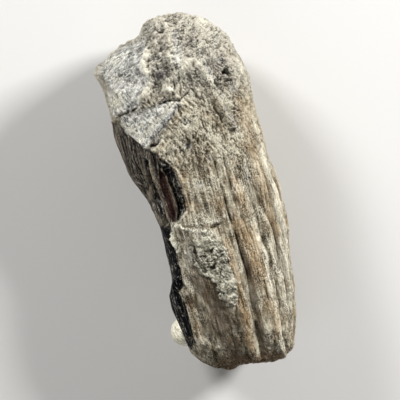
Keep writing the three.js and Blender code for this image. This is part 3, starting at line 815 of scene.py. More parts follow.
def grit_and_shade_group() -> NodeTree:
    """Builds the shared grit effect: painted shade that darkens the hollows, painted highlights that lighten
    the crests, and grit all over.

    Returns:
        The node group. Its inputs are Color, Crest, Hollow, Relief, Grit and Lying, which turns the grain
        across the tooth, and its outputs are Color and Height.
    """
    tree = bpy.data.node_groups.new("grit_and_painted_relief_shade", "ShaderNodeTree")
    for name, kind, way in (
        ("Color", "Color", "INPUT"), ("Crest", "Color", "INPUT"), ("Hollow", "Color", "INPUT"),
        ("Relief", "Float", "INPUT"), ("Grit", "Float", "INPUT"), ("Lying", "Float", "INPUT"),
        ("Color", "Color", "OUTPUT"), ("Height", "Float", "OUTPUT"),
    ):
        tree.interface.new_socket(name, in_out=way, socket_type="NodeSocket" + kind)
    wire = Wiring(tree)
    given, made = wire.add("NodeGroupInput").outputs, wire.add("NodeGroupOutput").inputs
    to_middle = wire.span(given["Lying"], 0.0, 0.5)
    to_crown = wire.span(given["Lying"], 0.5, 1.0)
    fine = wire.grain((0.13, 0.15, 0.13), -15.0)
    along = wire.grain((0.15, 1.5, 0.3), 1.0, 0.45)
    aslant = wire.grain((0.16, 0.9, 0.3), 28.0, 0.5)
    across = wire.grain((0.6, 0.14, 0.35), 14.0)
    drawn = wire.between(to_crown, wire.between(to_middle, along, aslant), across)
    long_threads = wire.threads((0.42, 4.0, 0.42), 1.0, 0.3)
    short_threads = wire.threads((0.42, 0.62, 0.42), 24.0)
    thread = wire.between(to_middle, long_threads, short_threads)
    both = wire.plus(wire.times(fine, wire.span(to_crown, 0.0, 1.0, 1.1, 0.85)),
                     wire.times(drawn, wire.span(to_crown, 0.0, 1.0, 0.8, 1.05)))
    both = wire.plus(both, wire.times(thread, wire.span(to_middle, 0.0, 1.0, 0.45, 0.8)))
    both = wire.times(both, wire.span(wire.noise((1.5, 2.0, 1.5), 3.0, 0.6), 0.36, 0.62, 0.5, 1.3))
    level = wire.plus(given["Relief"], wire.times(both, given["Grit"]))
    # painted shade and highlights: the colour is scaled down where the level is low and up where it is high,
    # then mixed toward Hollow in the lowest places and toward Crest on the highest
    shaded = wire.fed(wire.add("ShaderNodeVectorMath", operation="SCALE"), {
        0: given["Color"], "Scale": wire.span(level, -1.2, 1.2, 0.35, 1.55),
    })
    dark = wire.mix(wire.span(level, -0.6, -1.6, 0.0, 0.5), shaded.outputs[0], given["Hollow"])
    wire.feed(made["Color"], wire.mix(wire.span(level, 0.4, 1.3, 0.0, 0.5), dark, given["Crest"]))
    wire.feed(made["Height"], wire.times(both, 0.25))
    return tree


@dataclass(frozen=True)
class Surface:
    """What every finish shares: how its shader is put together. The bump's depth is in millimetres."""

    name: str
    roughness: float
    bump: float
    bump_depth: float
    gloss: float = 0.1

    def finish(self, wire: Wiring, colour: Socket, height: Socket, rough: Input) -> Material:
        """Closes a material on its shader.

        Args:
            wire: the material's wiring.
            colour: its base colour.
            height: the height that its fine relief follows.
            rough: its roughness.

        Returns:
            The material.
        """
        bump = wire.fed(wire.add("ShaderNodeBump"), {
            "Strength": self.bump, "Distance": self.bump_depth * MM, "Height": height,
        })
        wire.fed(wire.tree.nodes["Principled BSDF"], {
            "Normal": bump.outputs["Normal"], "Base Color": colour, "Roughness": rough,
            "Specular IOR Level": self.gloss,
        })
        return bpy.data.materials[self.name]

    def begin(self) -> Wiring:
        """Starts the material.

        Returns:
            Its wiring.
        """
        material = bpy.data.materials.new(self.name)
        material.use_nodes = True
        return Wiring(material.node_tree)


@dataclass(frozen=True)
class FossilFinish(Surface):
    """Weathered cementum with its stains, bare dentine, grey broken faces and the rock in the base, with
    painted shade in its hollows and gaps and painted highlights on its ridges and crests.
    """

    name: str = "weathered_fossil"
    roughness: float = 0.88
    bare_roughness: float = 0.45
    bump: float = 0.9
    bump_depth: float = 0.22
    gloss: float = 0.03
    coat: Colour = paint(134, 122, 101)
    coat_light: Colour = paint(186, 179, 159)
    tan: Colour = paint(162, 138, 105)
    brown: Colour = paint(84, 70, 56)
    grey: Colour = paint(176, 175, 169)
    grey_light: Colour = paint(242, 240, 231)
    # the dark grey of the bands, also laid as painted shade in pits and hollows
    dusk: Colour = paint(62, 59, 63)
    # cream: the colour of the pale patches, and of the painted highlights on the coat's crests
    cream: Colour = paint(234, 229, 210)
    # crevice: painted shade for the coat's hollows
    crevice: Colour = paint(48, 39, 31)
    dentine: Colour = paint(35, 31, 28)
    dentine_light: Colour = paint(128, 119, 106)
    jet: Colour = paint(15, 15, 19)
    glint: Colour = paint(204, 200, 190)
    streak: Colour = paint(170, 158, 138)
    hollow: Colour = paint(84, 60, 53)
    core: Colour = paint(118, 97, 76)
    rock: Colour = paint(150, 146, 126)
    # near-black painted shade for the slit, the crack, the clefts, the holes and part of the window's floor
    void: Colour = paint(20, 14, 13)

    def material(self, grit: NodeTree) -> Material:
        """Builds the material.

        Args:
            grit: the shared grit effect.

        Returns:
            The material.
        """
        wire = self.begin()
        mask = {tint: wire.mask(tint) for tint in Tint}
        coat = self._coat(wire, grit, mask)
        fibre = wire.noise((0.2, 2.6, 0.2), 4.0, 0.7)
        dentine = self._dentine(wire, fibre, mask)
        # the bared dentine's grit, with painted shade toward black in its hollows and painted highlights
        # toward the streak colour on its crests
        worn = wire.grit(grit, dentine, mask[Tint.RELIEF], self.streak, self.jet, mask[Tint.GRIT], 0.0)
        colour = wire.mix(mask[Tint.BARE], coat.outputs["Color"], worn.outputs["Color"])
        # painted shade: the slit, the crack, the clefts, the holes and the window's left part are darkened
        # toward near black
        colour = wire.mix(mask[Tint.VOID], colour, self.void)
        polish = wire.times(mask[Tint.BARE], wire.span(mask[Tint.JET], 0.0, 1.0, 0.6, 1.0))
        rough = wire.span(polish, 0.0, 1.0, self.roughness, self.bare_roughness)
        height = wire.plus(coat.outputs["Height"], wire.times(fibre, 0.3))
        return self.finish(wire, colour, height, rough)

    def _coat(self, wire: Wiring, grit: NodeTree, mask: dict[Tint, Socket]) -> Node:
        """Paints the coat with its stains, the broken faces and the base, and its painted shade and
        highlights.

        Args:
            wire: the material's wiring.
            grit: the shared grit effect.
            mask: the root's masks.

        Returns:
            The node of the grit effect, with outputs Color and Height.
        """
        mottle = wire.noise((1.3, 1.8, 1.3), 5.0, 0.65)
        strand = wire.noise((0.26, 3.0, 0.26), 4.0, 0.65)
        speck = wire.noise((0.7, 0.3, 0.5), 5.0, 0.75, 28.0)
        base = wire.mix(wire.span(mottle, 0.38, 0.62), self.coat, self.coat_light)
        broken = wire.mix(wire.span(speck, 0.4, 0.6), self.grey, self.grey_light)
        core = wire.mix(wire.span(strand, 0.35, 0.7), self.core, self.coat)
        for share, colour in (
            (wire.times(mask[Tint.TAN], wire.span(strand, 0.35, 0.55, 0.55, 1.0)), self.tan),
            (wire.times(mask[Tint.BROWN], wire.span(strand, 0.65, 0.3, 0.6, 1.0)), self.brown),
            (mask[Tint.GREY], broken),
            (mask[Tint.CORE], core),
            (mask[Tint.ROCK], self.rock),
            (mask[Tint.PALE], self.cream),
            (wire.times(mask[Tint.DUSK], wire.span(speck, 0.65, 0.45, 0.5, 1.0)), self.dusk),
        ):
            base = wire.mix(share, base, colour)
        # the relief drives painted shade in the hollows and painted highlights on the crests, weaker on the
        # brown patches
        relief = wire.times(mask[Tint.RELIEF], wire.span(mask[Tint.BROWN], 0.0, 1.0, 1.0, 0.4))
        return wire.grit(grit, base, relief, self.cream, self.crevice, mask[Tint.GRIT], mask[Tint.CROWN])

    def _dentine(self, wire: Wiring, fibre: Socket, mask: dict[Tint, Socket]) -> Socket:
        """Paints the bared dentine with its glints and streaks, and the hollow's floor.

        Args:
            wire: the material's wiring.
            fibre: noise that runs along the tooth.
            mask: the root's masks.

        Returns:
            The socket with the colour.
        """
        spark = wire.noise((0.2, 0.5, 0.2), 3.0, 0.7)
        plain = wire.mix(wire.span(fibre, 0.42, 0.6), self.dentine, self.dentine_light)
        glints = wire.times(wire.span(fibre, 0.47, 0.58), wire.span(spark, 0.5, 0.64))
        dark = wire.mix(glints, wire.mix(mask[Tint.JET], plain, self.jet), self.glint)
        streaks = wire.times(mask[Tint.STREAK], wire.span(spark, 0.3, 0.6, 0.4, 1.0))
        return wire.mix(mask[Tint.HOLLOW], wire.mix(streaks, dark, self.streak), self.hollow)


@dataclass(frozen=True)
class RockFinish(Surface):
    """The crust of grey-green rock that clings to the face, with painted shade in its cracks and hollows and
    painted highlights on its crests.
    """

    name: str = "rock_crust"
    roughness: float = 0.92
    bump: float = 0.8
    bump_depth: float = 0.14
    light: Colour = paint(176, 172, 155)
    dark: Colour = paint(118, 114, 99)
    # crest and crevice: painted highlights on the crust's crests and painted shade in its hollows and cracks
    crest: Colour = paint(238, 234, 219)
    crevice: Colour = paint(46, 42, 36)

    def material(self, grit: NodeTree) -> Material:
        """Builds the material.

        Args:
            grit: the shared grit effect.

        Returns:
            The material.
        """
        wire = self.begin()
        blotch = wire.noise((0.8, 0.8, 0.8), 5.0, 0.65)
        base = wire.mix(wire.span(blotch, 0.36, 0.64), self.dark, self.light)
        coat = wire.grit(grit, base, wire.mask(Tint.RELIEF), self.crest, self.crevice, 1.0)
        return self.finish(wire, coat.outputs["Color"], coat.outputs["Height"], self.roughness)


@dataclass(frozen=True)
class ChalkFinish(Surface):
    """The chalky cream nodule on the flank."""

    name: str = "chalk_nodule"
    roughness: float = 0.8
    bump: float = 0.25
    bump_depth: float = 0.04
    light: Colour = paint(252, 248, 228)
    shade: Colour = paint(230, 221, 192)

    def material(self, grit: NodeTree) -> Material:
        """Builds the material.

        Args:
            grit: the shared grit effect.

        Returns:
            The material.
        """
        wire = self.begin()
        blotch = wire.noise((0.9, 0.9, 0.9), 4.0, 0.6)
        base = wire.mix(wire.span(blotch, 0.4, 0.7), self.light, self.shade)
        coat = wire.grit(grit, base, 0.0, self.light, self.shade, 0.5)
        return self.finish(wire, coat.outputs["Color"], coat.outputs["Height"], self.roughness)


# ---------------------------------------- pieces

def new_piece(name: str, bm: bmesh.types.BMesh, material: Material) -> Object:
    """Turns a bmesh into an object of the scene, smooth shaded.

    Args:
        name: the piece's name.
        bm: its mesh, freed here.
        material: its finish.

    Returns:
        The object.
    """
    mesh = bpy.data.meshes.new(name)
    bm.to_mesh(mesh)
    bm.free()
    mesh.shade_smooth()
    mesh.materials.append(material)
    piece = bpy.data.objects.new(name, mesh)
    bpy.context.scene.collection.objects.link(piece)
    return piece


def read(items: bpy.types.bpy_prop_collection, name: str) -> Array:
    """Reads a property of three numbers from each item of a mesh.

    Args:
        items: the vertices or the vertex normals.
        name: the property.

    Returns:
        The numbers, one item to a row.
    """
    flat = np.empty(len(items) * 3)
    items.foreach_get(name, flat)
    return flat.reshape(-1, 3)


def places(mesh: Mesh) -> Array:
    """Reads a mesh's vertices, one to a row."""
    return read(mesh.vertices, "co")


def set_places(mesh: Mesh, points: Array) -> None:
    """Writes a mesh's vertices."""
    mesh.vertices.foreach_set("co", points.ravel())
    mesh.update()


def normals(mesh: Mesh) -> Array:
    """Reads the normals at a mesh's vertices, one to a row."""
    return read(mesh.vertex_normals, "vector")


def set_mask(mesh: Mesh, tint: Tint, values: Array) -> None:
    """Stores one number at each vertex, for the finish to read."""
    made = mesh.attributes.new(tint.value, "FLOAT", "POINT")
    made.data.foreach_set("value", values.astype(np.float32))


class Skin:
    """The root's plain surface as its marks meet it, with the share of each cover or opening, 0 to 1.

    Places are in millimetres, with the widest level at Z = 0. The covers are the veins, the bare flank and
    its streaks, the broken faces, the worn valleys, the slit, the crack and the window with its septum.
    """

    def __init__(self, plain: Array, out: Array, marks: Marks) -> None:
        """Reads the surface once for all the marks.

        Args:
            plain: the places of the plain form, one to a row.
            out: its normals.
            marks: the marks on it.
        """
        self.plain, self.out, self.up = plain, out, out[:, 2]
        self.x, self.y, self.z = plain.T
        self.radius = np.hypot(self.x, self.z)
        self.wander = Noise(5)
        self.wx, self.wy = self.x + self._wavering(0), self.y + self._wavering(40)
        self.fx = self.x + 0.06 * self.soft((1.2, 3.5, 1.2)) + 0.03 * self.soft((0.3, 0.8, 0.3))
        self.face = smooth(0.05, 0.35, self.up)
        self.above = smooth(-0.05, 0.2, self.up)
        self.fibre = Noise(31).layered(plain, (0.3, 4.0, 0.3), 3)
        self.grain = Noise(37).layered(plain @ turned(20), (0.8, 0.34, 0.5), 3)
        self.streaky = Noise(43).crests(plain @ turned(30), (2.6, 0.4, 0.8), 3)
        self._cover(marks)
        self._open(marks)

    def soft(self, size: Size, shift: float = 0.0) -> Array:
        """Reads noise with features of the given size on the plain form."""
        return self.wander.soft(self.plain + shift, size)

    def _wavering(self, shift: float) -> Array:
        """Works out how far the edges of marks wander, in millimetres."""
        return 0.16 * self.soft((0.8, 1.0, 0.8), shift) + 0.07 * self.soft((0.28, 0.3, 0.28), shift)

    def drawn(self, marks: Drawing) -> Array:
        """Draws marks on the face with edges that wander."""
        return self.face * strongest(marks, self.wx, self.wy)

    def _cover(self, marks: Marks) -> None:
        """Works out where the coat is veined, bared, broken or worn.

        Args:
            marks: the marks on the surface.
        """
        sway = 0.2 * self.wander.bend(self.plain, (0.4, 0.4, 0.4), (20, 80))
        self.veins = self.face * strongest(marks.veins, self.wx + sway[:, 0], self.wy + sway[:, 1])
        self.veins *= unit(0.75 + 0.9 * self.soft((0.3, 0.3, 0.3), 60))
        edge = -0.6 + 0.25 * self.soft((3.0, 2.0, 3.0)) + 0.12 * self.soft((0.7, 0.7, 0.7))
        self.bare = smooth(-0.08, 0.08, self.up - edge) * marks.bare_flank.mask(self.wx, self.wy, 0.16)
        self.streaks = self.above * strongest(marks.flank_streaks, self.fx, self.y)
        self.crown_break = self.face * marks.upper_break.mask(self.wx, self.wy, 0.35)
        self.root_break = self.face * marks.lower_break.mask(self.wx, self.wy, 0.35)
        self.broken = np.maximum(self.crown_break, self.root_break)
        self.worn = unit(2.5 * self.drawn(marks.valleys))

    def _open(self, marks: Marks) -> None:
        """Works out where the slit, the crack and the window lie, and the septum in the window.

        Args:
            marks: the marks on the surface.
        """
        self.slit = self.face * smooth(0.0, 0.12, marks.slit.depth(self.x, self.wy))
        self.crack = self.face * smooth(0.0, 0.07, marks.crack.depth(self.wx, self.wy))
        inside = marks.window.depth(self.wx, self.wy)
        self.opening = self.face * smooth(0.0, 0.16, inside)
        self.window = self.face * smooth(-0.05, 0.1, inside)
        self.septum = marks.septum.ridge(self.x, self.y)
        line = np.array(marks.septum.line[::-1])
        self.from_septum = self.x - np.interp(self.y, line[:, 1], line[:, 0])
        self.right = smooth(-0.04, 0.04, self.from_septum)


@dataclass
class Root:
    """The root of the tooth, in millimetres: its form, its relief and the masks that its finish reads."""

    columns: int = 300
    rows: int = 328
    form: Form = Form()
    marks: Marks = Marks()
    coat_thickness: float = 0.45
    vein_height: float = 0.13
    streak_height: float = 0.16
    flute_width: float = 0.95
    flute_fade: float = 4.5
    break_slope: float = 0.38
    break_edge: float = -2.6
    upper_break_level: float = 13.0
    lower_break_level: float = 13.25
    window_floor: float = 12.15
    wall_foot: float = 12.35
    wall_width: float = 0.95
    septum_rise: float = 0.7
    slit_depth: float = 3.0
    crack_depth: float = 1.4
    canal_centre: Point = (0.2, 6.4)
    canal_half: Point = (2.4, 2.0)
    canal_depth: float = 0.9
    ledge_height: float = 0.26
    slant_height: float = 0.2
    coarse_height: float = 0.16
    strand_height: float = 0.1
    thread_height: float = 0.06
    pit_depth: float = 0.16

    def build(self, finish: Material) -> Object:
        """Builds and dresses the root.

        Args:
            finish: its material.

        Returns:
            The finished object.
        """
        bm = bmesh.new()
        bmesh.ops.create_uvsphere(bm, u_segments=self.columns, v_segments=self.rows, radius=1.0)
        piece = new_piece("tooth_root", bm, finish)
        ball = places(piece.data)
        row = np.rint((1 - np.arccos(np.clip(ball[:, 2], -1, 1)) / np.pi) * self.rows).astype(int)
        turn = -np.arctan2(ball[:, 1], ball[:, 0]) / (2 * np.pi)
        column = np.rint(turn * self.columns).astype(int) % self.columns
        plain = self.form.place(column, row, self.columns, self.rows)
        set_places(piece.data, plain)
        skin = Skin(plain, normals(piece.data), self.marks)
        grooved, carved = self._carving(skin)
        fine = self._fine(skin)
        canal = self._canal(skin)
        set_places(piece.data, self._fitted(self._shaped(skin, carved + fine, canal)))
        # the relief mask: the finish paints shade into the low places and highlights onto the high ones
        relief = np.clip(fine / 0.22 + 0.8 * carved + 0.4 * grooved, -1, 1)
        for tint, values in self._masks(skin, canal).items():
            set_mask(piece.data, tint, values)
        set_mask(piece.data, Tint.RELIEF, relief)
        return piece

    def _fitted(self, points: Array) -> Array:
        """Fits the root to the box of the solid one.

        Args:
            points: its places in millimetres.

        Returns:
            The places in metres.
        """
        low, high = (np.array(corner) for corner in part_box(NODE))
        start, span = points.min(axis=0), np.ptp(points, axis=0)
        return low + (points - start) / span * (high - low)

    def _carving(self, skin: Skin) -> tuple[Array, Array]:
        """Works out the grooves and ridges of the face, the flanks and the back.

        Args:
            skin: the root's surface.

        Returns:
            The heights in millimetres of the face's flutes and lines alone, and of the whole.
        """
        marks, face = self.marks, skin.face
        flow, bend = (skin.fx, skin.y), (skin.wx, skin.wy)
        strength = blend(1.25, 0.7, smooth(-6.0, -1.0, skin.y))
        grooved = -strength * face * piled(marks.flutes + marks.lines, *flow)
        cut = piled(marks.valleys, *flow) + piled(marks.clefts + marks.pits + marks.holes, *bend)
        carved = grooved + face * (piled(marks.bumps, *bend) - cut) + self.vein_height * skin.veins
        step = smooth(0.0, 0.35, np.abs(skin.up))
        carved -= self._side_grooves(skin) + self.coat_thickness * skin.bare * step
        carved += self.streak_height * skin.streaks - skin.above * piled(marks.flank_grooves, *flow)
        return grooved, carved

    def _side_grooves(self, skin: Skin) -> Array:
        """Works out how deep the flutes of the flanks and the back are.

        Args:
            skin: the root's surface.

        Returns:
            The depths in millimetres.
        """
        side = np.degrees(np.arctan2(skin.z, skin.x))
        depth = np.zeros(len(side))
        for flute in SIDE_FLUTES:
            share = (flute.start - skin.y) / (flute.start + self.form.half_length)
            sway = 1.5 * np.sin(0.5 * skin.y + flute.crown_side)
            centre = blend(flute.crown_side, flute.base_side, share) + sway
            off = np.radians(np.abs((side - centre + 180) % 360 - 180)) * skin.radius
            run = 1 - smooth(flute.start - self.flute_fade, flute.start, skin.y)
            section = 0.6 * bell(off, self.flute_width) + 0.4 * bell(off, self.flute_width * 0.3)
            depth += run * flute.depth * section
        return (1 - 0.8 * skin.face) * smooth(3.0, 5.2, skin.radius) * depth

    def _fine(self, skin: Skin) -> Array:
        """Lays the fine relief of the coat, the broken faces and the bared dentine.

        Args:
            skin: the root's surface.

        Returns:
            Heights in millimetres.
        """
        fine = self._coat(skin.plain) * (1 - 0.75 * skin.worn)
        fine = blend(fine, 0.13 * skin.grain, skin.crown_break)
        fine = blend(fine, 0.12 * skin.streaky + 0.06 * skin.grain, skin.root_break)
        return blend(fine, 0.09 * skin.fibre, skin.bare)

    def _coat(self, points: Array) -> Array:
        """Works out the fine relief of the weathered coat: strands low down, slanting crests, ledges on top.

        Args:
            points: the plain form in millimetres.

        Returns:
            Heights in millimetres.
        """
        y = points[:, 1]
        rough, fine = Noise(11), Noise(23)
        bend = rough.bend(points, (0.8, 0.9, 0.8), (0, 50, 90))
        bent = points + 0.14 * bend
        low = 1 - smooth(-1.0, 6.0, y + 1.5 * rough.soft(points, (1.5, 1.5, 1.5)))
        top = smooth(11.0, 14.0, y)
        ledges = rough.crests(bent @ turned(14), (0.95, 0.34, 0.6), 3)
        slant = rough.crests(bent @ turned(-55), (0.8, 0.27, 0.5), 3)
        upright = fine.crests(bent @ turned(-8), (0.28, 1.0, 0.4), 3)
        aslant = smooth(-0.15, 0.25, fine.soft(points, (2.5, 3.0, 2.5)))
        strands = rough.crests(points + 0.05 * bend, (0.42, 4.0, 0.42), 3)
        threads = fine.layered(points + 0.04 * bend, (0.22, 1.4, 0.22), 2)
        grain = fine.layered(points + 70, (0.26, 0.26, 0.26), 2)
        heights = self.ledge_height * top * ledges
        heights += self.slant_height * (1 - low - top) * blend(upright, slant, aslant)
        heights += self.coarse_height * fine.layered(points, (1.3, 1.6, 1.3), 2)
        heights += low * (self.strand_height * strands + self.thread_height * threads)
        heights += blend(0.1, 0.03, low) * grain
        hollows, _ = fine.cells((bent + 60) @ turned(14), (0.9, 0.6, 0.8))
        pitted = (1 - low) * smooth(-0.1, 0.5, rough.soft(points + 33, (1.7, 1.7, 1.7)))
        return heights - self.pit_depth * pitted * (1 - smooth(0.1, 0.34, hollows))

    def _canal(self, skin: Skin) -> Array:
        """Finds the canal of the base.

        Args:
            skin: the root's surface.

        Returns:
            How far each point lies in it, 0 to 1.
        """
        level = self.form.back_depth - self.form.worn_depth
        across = (skin.x - self.canal_centre[0]) / self.canal_half[0]
        upwards = (skin.z + level - self.canal_centre[1]) / self.canal_half[1]
        return bell(np.hypot(across, upwards), 1.0) * (skin.out[:, 1] < -0.7)

    def _shaped(self, skin: Skin, relief: Array, canal: Array) -> Array:
        """Lays the relief on the plain form and cuts the broken faces, the openings and the worn back.

        Args:
            skin: the root's surface.
            relief: its relief in millimetres.
            canal: how far each point lies in the canal.

        Returns:
            The places in millimetres, standing on Z = 0.
        """
        x, y, z = skin.plain.T
        swell = (
            0.14 * np.sin(1.1 * x + 0.7 * y + 0.5) * np.sin(0.9 * z - 0.45 * y + 1.3)
            + 0.1 * np.sin(2.1 * x - 0.8 * z + 0.4 * y) * np.sin(0.85 * y + 1.2 * z + 2.0)
        )
        points = skin.plain + skin.out * (swell + relief)[:, None]
        points[:, 1] += self.canal_depth * canal
        height = points[:, 2] + self.form.back_depth - self.form.worn_depth
        for share, edge in (
            (skin.crown_break, self.upper_break_level), (skin.root_break, self.lower_break_level),
        ):
            facet = edge + (points[:, 0] - self.break_edge) * self.break_slope + 0.16 * skin.grain
            height -= np.maximum(0, height - facet) * share
        rim = unit(skin.from_septum / self.wall_width)
        wall = self.wall_foot + rim ** 1.4 + 0.07 * np.sin(16 * y + 5 * x)
        floor = self.window_floor + 0.12 * skin.soft((0.5, 1.2, 0.5)) + 0.05 * (y + 1)
        target = blend(floor, wall, skin.right) + self.septum_rise * skin.septum
        height = blend(height, np.minimum(height, target), skin.opening)
        height -= self.slit_depth * skin.slit + self.crack_depth * skin.crack
        points[:, 2] = np.maximum(0, height)
        return points

    def _grit(self, skin: Skin, brown: Array, jet: Array) -> Array:
        """Works out how strong the grit is: strongest on the middle of the face, weakest on stains and black.

        Args:
            skin: the root's surface.
            brown: how brown each point is.
            jet: how black it is.

        Returns:
            The strength at each point.
        """
        x, y, up = skin.x, skin.y, skin.up
        grit = blend(1.05, 1.4, smooth(-4.0, 2.0, y)) * (1 - 0.6 * brown) * (1 - 0.2 * skin.broken)
        grit *= (1 - 0.4 * smooth(4.6, 6.0, x)) * (1 - 0.15 * smooth(9.0, 13.0, y))
        grit *= 1 - 0.5 * smooth(5.0, 9.0, y) * (1 - smooth(-0.1, 0.5, up))
        grit *= 1 + 0.7 * skin.face * smooth(-3.3, -3.8, x) * (1 - smooth(-3.0, -1.0, y))
        return blend(0.75, 1.0, smooth(-0.3, 0.3, up)) * blend(grit, 0.9 - 0.35 * jet, skin.bare)

    def _masks(self, skin: Skin, canal: Array) -> dict[Tint, Array]:
        """Works out the masks that the finish reads, apart from the relief's.

        Args:
            skin: the root's surface.
            canal: how far each point lies in the canal.

        Returns:
            The masks, most of them 0 to 1.
        """
        marks, face, y = self.marks, skin.face, skin.y
        window, right, septum = skin.window, skin.right, skin.septum
        left = window * (1 - right)
        brown = unit(skin.drawn(marks.brown) * (0.9 + 0.2 * skin.fibre))
        turned_up = blend(0.3, 1.0, smooth(-0.15, 0.2, skin.up))
        jet = unit(turned_up * strongest(marks.jet, skin.fx, y) * (1 - window) + window * right)
        clefts, holes = (strongest(kind, skin.wx, skin.wy) for kind in (marks.clefts, marks.holes))
        gaps = np.maximum(smooth(0.12, 0.28, clefts), smooth(0.4, 0.55, holes))
        gaps = np.maximum(gaps, 0.65 * smooth(0.12, 0.35, holes))
        shade = 0.6 * left * (1 - smooth(-1.5, -0.6, y - 0.6 * (skin.x + 3.6)))
        crown_darkening = 0.16 * smooth(8.0, 12.0, y) * (1 - skin.broken)
        above_root = smooth(-1.0, 5.0, y + 1.5 * skin.soft((1.3, 1.3, 1.3)))
        return {
            Tint.GRIT: self._grit(skin, brown, jet),
            Tint.BARE: unit(skin.bare + window),
            Tint.GREY: unit(skin.broken + skin.drawn(marks.grey) + 0.32 * smooth(7.0, 12.0, y)),
            Tint.ROCK: unit(1.6 * canal),
            Tint.TAN: unit(blend(0.25 + 0.3 * skin.fibre, strongest(marks.tan, skin.wx, skin.wy), face)),
            Tint.BROWN: brown,
            # dark grey bands and painted shade, plus a little darkening toward the crown end
            Tint.DUSK: unit(skin.drawn(marks.dusk) * (0.9 + 0.4 * skin.streaky) + crown_darkening),
            # cream patches and veins, and painted highlights on the ridges, rib crests and rims
            Tint.PALE: unit(skin.drawn(marks.pale) * (0.8 + 0.4 * skin.grain) + 1.5 * skin.veins),
            Tint.HOLLOW: left * (1 - septum),
            # painted shade in the slit, the crack, the clefts, the holes and part of the window
            Tint.VOID: unit(skin.slit + skin.crack + 0.85 * face * gaps + shade),
            Tint.JET: jet,
            Tint.STREAK: np.maximum(skin.streaks, 0.6 * window * septum),
            Tint.CORE: smooth(0.55, 0.8, -skin.out[:, 1]) * (1 - smooth(4.6, 5.6, skin.radius)),
            Tint.CROWN: 0.5 * above_root + 0.5 * smooth(10.5, 13.5, y),
        }


@dataclass
class Crust:
    """The crust of rock on the face: lumps grown together over its patch, in millimetres."""

    patch: Patch
    cracks: Strokes = strokes(
        (0.3, 0.34, -2.35, -4.6, -2.3, -5.6, -2.2, -6.3, -1.8, -7.1),
        (0.2, 0.28, -1.5, -6.8, -1, -7, -0.7, -6.6), (0.13, 0.2, -1.9, -5.6, -1.3, -5.8),
        (0.12, 0.2, -0.9, -5.7, -0.3, -6.1, 0.2, -6), (0.12, 0.18, -1.6, -6.2, -1, -6.3),
        (0.12, 0.14, -0.8, -4.9, -0.2, -5), (0.12, 0.16, -0.3, -7.3, -0.6, -7.9))
    rough: Spots = spots((-0.9, -5.9, 1.5, 1.5, 1.1), (-0.2, -9.4, 1, 1.7, 0.5))
    spacing: float = 0.22
    low_lump: float = 0.1
    high_lump: float = 0.4
    voxel: float = 0.065
    unevenness: float = 0.12
    seed: int = 8

    def build(self, finish: Material, root: Object) -> Object:
        """Builds and dresses the crust.

        Args:
            finish: its material.
            root: the finished root, which it clings to.

        Returns:
            The finished object.
        """
        piece = new_piece("rock_crust", self._lumps(root), finish)
        grow = piece.modifiers.new("grown_together", "REMESH")
        grow.mode = "VOXEL"
        grow.voxel_size = self.voxel
        mesh = bpy.data.meshes.new_from_object(piece.evaluated_get(bpy.context.evaluated_depsgraph_get()))
        piece.modifiers.clear()
        piece.data = mesh
        mesh.shade_smooth()
        self._roughen(mesh)
        return piece

    def _lumps(self, root: Object) -> bmesh.types.BMesh:
        """Scatters lumps over the patch, smaller towards its edge.

        Args:
            root: the finished root, which they sit on.

        Returns:
            Their mesh in millimetres.
        """
        ground = BVHTree.FromObject(root, bpy.context.evaluated_depsgraph_get())
        draw = np.random.default_rng(self.seed)
        low, high = np.min(self.patch.outline, axis=0), np.max(self.patch.outline, axis=0)
        bm = bmesh.new()
        for x in np.arange(low[0], high[0], self.spacing):
            for y in np.arange(low[1], high[1], self.spacing):
                spot = np.array([x, y]) + draw.uniform(-1.0, 1.0, 2) * self.spacing
                size = draw.uniform(self.low_lump, self.high_lump)
                inside = self.patch.depth(spot[:1], spot[1:])[0]
                hit = ground.ray_cast(Vector((*spot, 30.0)) * MM, Vector((0, 0, -1)))[0]
                if inside < 0.4 * size - 0.1 or hit is None:
                    continue
                size = min(size, 0.14 + 0.5 * max(inside, 0.0))
                squash = Matrix.Diagonal((*draw.uniform(0.75, 1.25, 2), draw.uniform(0.7, 1.1), 1.0))
                turn = Matrix.Rotation(draw.uniform(0, math.tau), 4, "Z")
                place = Matrix.Translation((*spot, hit.z / MM + 0.1 * size))
                bmesh.ops.create_icosphere(bm, subdivisions=2, radius=size, matrix=place @ turn @ squash)
        return bm

    def _roughen(self, mesh: Mesh) -> None:
        """Cuts the cracks, roughens the crust and takes it from millimetres to metres.

        Args:
            mesh: the crust's mesh.
        """
        points = places(mesh)
        rough = Noise(51)
        _, gap = Noise(52).cells(points, (0.6, 0.5, 0.6))
        relief = rough.crests(points @ turned(15), (0.75, 0.45, 0.6), 4)
        relief = relief + 0.15 * (smooth(0.0, 0.3, gap) - 0.7)
        relief *= blend(0.35, 1.0, strongest(self.rough, points[:, 0], points[:, 1]))
        sway = 0.12 * rough.bend(points, (0.4, 0.4, 0.4), (0, 50))
        cracks = strongest(self.cracks, points[:, 0] + sway[:, 0], points[:, 1] + sway[:, 1])
        height = self.unevenness * relief - cracks
        set_places(mesh, (points + normals(mesh) * height[:, None]) * MM)
        # the relief mask, lowest in the cracks: the finish paints shade into the cracks and hollows and
        # highlights onto the crests
        set_mask(mesh, Tint.RELIEF, np.clip(relief - 5 * cracks, -1, 1))


@dataclass
class Nodule:
    """The chalky nodule on the left flank, in millimetres."""

    centre: Size = (-5.3, -12.4, 4.6)
    half: Size = (1.2, 1.38, 1.85)
    unevenness: float = 0.08

    def build(self, finish: Material) -> Object:
        """Builds and dresses the nodule.

        Args:
            finish: its material.

        Returns:
            The finished object.
        """
        bm = bmesh.new()
        bmesh.ops.create_icosphere(bm, subdivisions=6, radius=1.0)
        piece = new_piece("chalk_nodule", bm, finish)
        ball = places(piece.data)
        points = ball * np.array(self.half)
        swell = 1 + self.unevenness * Noise(41).layered(points, (0.9, 0.9, 0.9), 3)
        set_places(piece.data, (points * swell[:, None] + np.array(self.centre)) * MM)
        return piece


# ---------------------------------------- the setting

